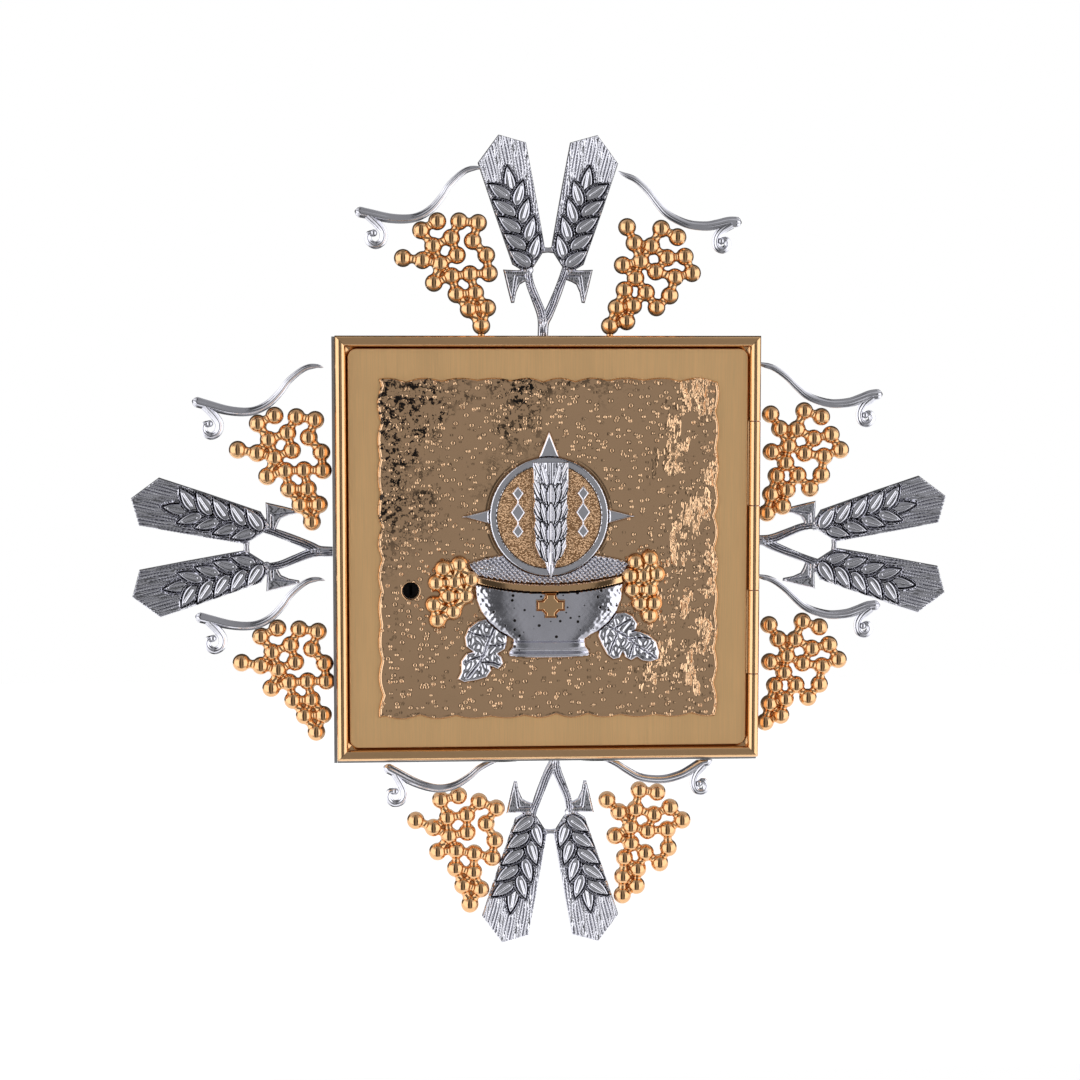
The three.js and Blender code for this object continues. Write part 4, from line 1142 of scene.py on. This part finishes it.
# Place of each unit: lowest berry (x, z) and clockwise turn in degrees.
UNITS = {
    "top_left": (LEFT_UNIT, -47, 157, 0),
    "left_upper": (LEFT_UNIT, -167, 19, 4),
    "left_lower": (LEFT_UNIT, -165, -131, 3),
    "bottom_left": (LEFT_UNIT, -56, -257, 17),
    "top_right": (RIGHT_UNIT, 44, 157, 0),
    "right_upper": (RIGHT_UNIT, 157, 24, -8),
    "right_lower": (RIGHT_UNIT, 157, -127, -8),
    "bottom_right": (RIGHT_UNIT, 54, -252, -19),
}
BOX_LOW, BOX_HIGH = box("back_panel")


def fluted_tube(solid, points, samples, half_at):
    """A cast stalk along points [x, z]: a round bar with shallow grooves along it."""
    path = smooth_path(points, samples)
    tangents = np.gradient(path, axis=0)
    tangents /= np.linalg.norm(tangents, axis=1)[:, None]
    turns = np.arange(20) * 2 * math.pi / 20
    stations = list(zip(path, tangents))

    def ring(i, station):
        (x, z), (tx, tz) = station
        half = half_at(i / (samples - 1))
        points_out = []
        for t in turns:
            r = half * (1 + 0.2 * math.cos(5 * t + 0.9))
            side = r * math.cos(t)
            points_out.append((x - tz * side, TENDRIL_Y + 0.85 * r * math.sin(t), z + tx * side))
        return points_out

    sweep(solid, stations, ring)


def stalk_half(share):
    """Half-thickness of a tendril along its length, thicker outwards and rounded at both ends."""
    return (1.6 + 1.8 * share) * math.sqrt(min(share / 0.08, (1 - share) / 0.03, 1) + 0.02)


def build_units():
    for place, (unit, x, z, turn) in UNITS.items():
        move = Matrix.Translation((x, 0, z)) @ Matrix.Rotation(math.radians(turn), 4, "Y")
        grapes = Solid()
        points, stalk_line, curl_line = (
            [(GRAPE_SIZE * px, GRAPE_SIZE * pz) for px, pz in unit[part]]
            for part in ("berries", "tendril", "curl")
        )
        for bx, bz in points:
            add_ball(grapes, (bx, GRAPE_Y, bz), BERRY)
        pairs = join_pairs(points, BERRY_REACH)
        for a, b in pairs:
            add_neck(grapes, points[a], points[b], BERRY, NECK, GRAPE_Y)
        add_webs(grapes, points, pairs, GRAPE_Y)
        if place.startswith("top"):
            foot_z = BOX_HIGH.z + 0.3 - z

            def foot_ring(i, height):
                return [(2.4 * math.cos(t), GRAPE_Y + 2.4 * math.sin(t), height)
                        for t in np.arange(16) * 2 * math.pi / 16]

            sweep(grapes, (foot_z, -4.5), foot_ring)
        grapes.moved(move)
        solid_piece(grapes, "grapes_" + place, "_cast", "cabinet", GRAPE_GILT, 60)

        stalk = Solid()
        fluted_tube(stalk, stalk_line, 72, stalk_half)
        fluted_tube(stalk, curl_line, 40, lambda t: 3.0 - 0.9 * t)
        end = curl_line[-1]
        add_ball(stalk, (end[0], TENDRIL_Y, end[1]), 2.5)
        stalk.moved(move)
        if place.startswith("bottom"):
            floor_z = BOX_LOW.z - 0.3
            stalk.vertices = [(vx, vy, min(vz, floor_z)) for vx, vy, vz in stalk.vertices]
        solid_piece(stalk, "tendril_" + place, "_cast", "cabinet", CAST_SILVER, 60)


# ---------------------------------------------------------------- wheat sprays
# The two ears mirror each other about MIRROR_X and are joined by a short tie at TIE_Z.
MIRROR_X = 1.2
TIE_Z = 211.5
EAR = [
    (-14.7, 195), (-9, 199.5), (-1, 212), (-1.8, 217.8), (-8.7, 256.7), (-14.7, 288.5), (-34.6, 294),
    (-49.6, 273.7), (-38.6, 240.7), (-24.7, 201),
]
# Where an ear's own axis starts, and how far it leans, in degrees clockwise.
EAR_BASE = (-14.0, 197.0)
EAR_LEAN = -11.7
OUTER_GRAINS = [(-33.9, 253.0), (-30.9, 241.5), (-27.0, 229.5), (-23.2, 217.5), (-19.4, 205.5)]
INNER_GRAINS = [(-19.6, 252.0), (-15.6, 239.5), (-11.6, 226.5), (-8.2, 213.5)]
BARB = [
    (-12, 198), (-21, 197), (-31.4, 197.5), (-28.5, 185), (-25.5, 173.3), (-23.2, 173.6), (-21.8, 181),
    (-19.3, 186.6), (-16, 188.5), (-12, 190),
]
# The stem forks into one arm for each ear; the fork stands left of the ears' middle.
LEFT_ARM = [(-2.5, 148), (-3, 163), (-7.5, 176), (-12, 188), (-13.6, 200)]
RIGHT_ARM = [(-2.5, 150), (-1.6, 159), (1.4, 165), (7.4, 179), (11.8, 191), (14.6, 200)]
# Place of each spray: clockwise turn in degrees, outward and sideways shift.
SPRAYS = {"top": (0, 4, -1), "left": (-90, 7, 0), "right": (90, 0, -2), "bottom": (180, -1, -3)}


def spray_field(stem_end):
    def half_spray(x, z):
        ear = polygon_distance(x, z, EAR)
        lean = math.radians(EAR_LEAN)
        across = (x - EAR_BASE[0]) * math.cos(lean) - (z - EAR_BASE[1]) * math.sin(lean)
        along = (x - EAR_BASE[0]) * math.sin(lean) + (z - EAR_BASE[1]) * math.cos(lean)
        fan = across / (0.62 + 0.0045 * along)
        wobble = 0.25 * np.sin(along / 6.0 + 0.9 * across)
        ribs = np.abs(np.sin(math.pi * (fan + wobble) / 2.2))
        awns = 3.0 + 1.3 * np.sqrt(ribs) + 0.25 * np.sin(fan * 2.3 + along / 7.0)
        height = lay_grain(awns, x, z, (-26.9, 261.0), EAR_LEAN + 2, 21, 8.6, 5.2, 2.9)
        for k in range(len(OUTER_GRAINS)):
            height = lay_grain(height, x, z, OUTER_GRAINS[k], EAR_LEAN - 44, 19.5, 9.6, 5.1, 2.9)
            if k < len(INNER_GRAINS):
                height = lay_grain(height, x, z, INNER_GRAINS[k], EAR_LEAN + 28, 18.5, 8.2, 5.0, 2.9)
        height = height + ripple(x, z, 2.2, 0.03)

        barb = polygon_distance(x, z, BARB)
        rib_away, _, _ = path_distance(x, z, [(-12, 193), (-22, 193), (-24.6, 176)])
        barb_height = 1.6 + 1.5 * np.clip(-barb / 1.2, 0, 1) + ripple(x, z, 1.2, 0.15)
        barb_height = barb_height - 1.2 * bell(rib_away, 0.6)

        knot = np.hypot(x + 12.4, z - 197.0) - 3.0
        knot_height = 1.5 + 2.2 * np.sqrt(np.clip(-knot / 3.0, 0, 1))

        distance = np.minimum(ear, np.minimum(barb, knot))
        total = np.where(ear < 0, rounded(ear, 0.8, height), 0)
        total = np.maximum(total, np.where(barb < 0, rounded(barb, 0.5, barb_height), 0))
        total = np.maximum(total, np.where(knot < 0, knot_height, 0))
        return ear, distance, total

    def arm(x, z, points):
        away, share, side = path_distance(x, z, smooth_path(points, 24))
        width = 3.8 - 1.1 * share
        height = 1.4 + 3.0 * np.sqrt(np.clip(1 - (away / width) ** 2, 0, 1))
        offset = away * side
        wander = 0.35 * np.sin(z / 4.0)
        for place, depth, half in ((-1.3, 1.5, 0.4), (0.4, 1.7, 0.5), (1.8, 1.2, 0.35)):
            height = height - depth * bell(offset - place - wander, half)
        return away - width, height

    def field(x, z):
        near = MIRROR_X - np.abs(x - MIRROR_X)
        ear, distance, height = half_spray(near, z)
        for points in (LEFT_ARM, RIGHT_ARM):
            stem, stem_height = arm(x, z, points)
            distance = np.minimum(distance, stem)
            height = np.maximum(height, np.where(stem < 0, rounded(stem, 0.7, stem_height) * (ear > -4), 0))
        aside = np.abs(x - MIRROR_X)
        tie = np.maximum(np.abs(z - TIE_Z) - 1.8 - 0.12 * aside, aside - 9)
        distance = np.minimum(distance, tie)
        height = np.maximum(height, np.where(tie < 0, rounded(tie, 1.2, 2.6), 0))
        distance = np.maximum(distance, stem_end - z)
        return distance, height

    return field


def build_sprays():
    for place, (turn, outward, sideways) in SPRAYS.items():
        node = "wheat_" + place
        low, high = box(node)
        reach = {"top": low.z, "left": -high.x, "right": low.x, "bottom": -high.z}[place]
        stem_end = (reach - outward) / WHEAT_SIZE
        vertices, faces = relief(spray_field(stem_end), (-51, stem_end - 0.5), (53.5, 295), 0.42, WHEAT_BACK)
        spray = Solid()
        spray.add(vertices * [WHEAT_SIZE, 1, WHEAT_SIZE], faces)
        turned = Matrix.Rotation(math.radians(turn), 4, "Y")
        spray.moved(turned @ Matrix.Translation((sideways, 0, outward)))
        solid_piece(spray, node, "_cast", "cabinet", CAST_SILVER, 50)


# ---------------------------------------------------------------- studio
def build_floor():
    size, near, far = 1.3, -0.32, 1.6
    floor_z = CAD_BOUNDS[0][2] - 0.07
    mesh = bpy.data.meshes.new("floor")
    corners = [(-size, near, floor_z), (size, near, floor_z), (size, far, floor_z), (-size, far, floor_z)]
    mesh.from_pydata(corners, [], [(0, 1, 2, 3)])
    floor = bpy.data.objects.new("floor", mesh)
    bpy.context.scene.collection.objects.link(floor)
    material = bpy.data.materials.new("pale_floor")
    material.use_nodes = True
    shader = material.node_tree.nodes["Principled BSDF"]
    shader.inputs["Base Color"].default_value = (0.5, 0.5, 0.5, 1)
    shader.inputs["Roughness"].default_value = 0.9
    shader.inputs["Emission Color"].default_value = (1, 1, 1, 1)
    shader.inputs["Emission Strength"].default_value = 0.85
    mesh.materials.append(material)


def build_light():
    """Two tall soft sides with a dim gap between them, in front; the gap has a paler middle."""
    world = bpy.data.worlds.new("studio")
    bpy.context.scene.world = world
    world.use_nodes = True
    tree = world.node_tree
    tree.nodes.clear()

    n = Nodes(tree)
    axes = n.add("ShaderNodeSeparateXYZ")
    n.link(n.add("ShaderNodeTexCoord").outputs["Generated"], axes.inputs[0])
    x, y, z = axes.outputs
    level = n.math("SQRT", n.math("ADD", n.math("MULTIPLY", x, x), n.math("MULTIPLY", y, y)))
    sideways = n.math("DIVIDE", n.math("ABSOLUTE", x), n.math("MAXIMUM", level, 0.001))
    gap = n.math("MULTIPLY", n.ramp(sideways, 0.46, 0.58, 1.0, 0.0), n.ramp(y, -0.15, 0.25, 1.0, 0.0))
    off_middle = n.math("ABSOLUTE", n.math("SUBTRACT", x, 0.07))
    gap_light = n.ramp(off_middle, 0.14, 0.22, 0.37, 0.09)
    high_or_low = n.ramp(n.math("ABSOLUTE", z), 0.40, 0.80, 1.0, 0.35)
    side_light = n.math("MULTIPLY", n.ramp(y, 0.1, 0.5, 1.85, 0.15), high_or_low)
    open_sides = n.math("SUBTRACT", 1.0, gap)
    strength = n.math("ADD", n.math("MULTIPLY", gap, gap_light), n.math("MULTIPLY", open_sides, side_light))
    studio = n.add("ShaderNodeBackground")
    n.link(strength, studio.inputs["Strength"])
    plain = n.add("ShaderNodeBackground")
    plain.inputs["Strength"].default_value = 1.0
    plain.inputs["Color"].default_value = (1, 1, 1, 1)
    mix = n.add("ShaderNodeMixShader")
    n.link(n.add("ShaderNodeLightPath").outputs["Is Camera Ray"], mix.inputs[0])
    n.link(studio.outputs[0], mix.inputs[1])
    n.link(plain.outputs[0], mix.inputs[2])
    n.link(mix.outputs[0], n.add("ShaderNodeOutputWorld").inputs[0])
    bpy.context.scene.view_settings.view_transform = "Standard"


def build_camera():
    """In front of the door, a little to the left and above."""
    distance = 1.6
    azimuth, elevation = math.radians(-3.82), math.radians(4.75)
    target = Vector((0, HINGE_Y * MM, 0))
    back = Vector((math.sin(azimuth) * math.cos(elevation), -math.cos(azimuth) * math.cos(elevation),
                   math.sin(elevation)))
    aim = target + Vector((-0.0063, 0, 0.0063))
    camera = bpy.data.objects.new("camera", bpy.data.cameras.new("camera"))
    bpy.context.scene.collection.objects.link(camera)
    camera.location = target + back * distance
    camera.rotation_euler = (aim - camera.location).to_track_quat("-Z", "Y").to_euler()
    camera.data.sensor_width = 36.0
    camera.data.lens = 75.5
    bpy.context.scene.camera = camera


build_camera()
build_light()
build_floor()
finish_box_and_lock()
build_frame()
build_knuckles()
build_door_plate()
build_plaque()
build_halo()
build_door_ear()
build_chalice()
build_vine()
build_units()
build_sprays()
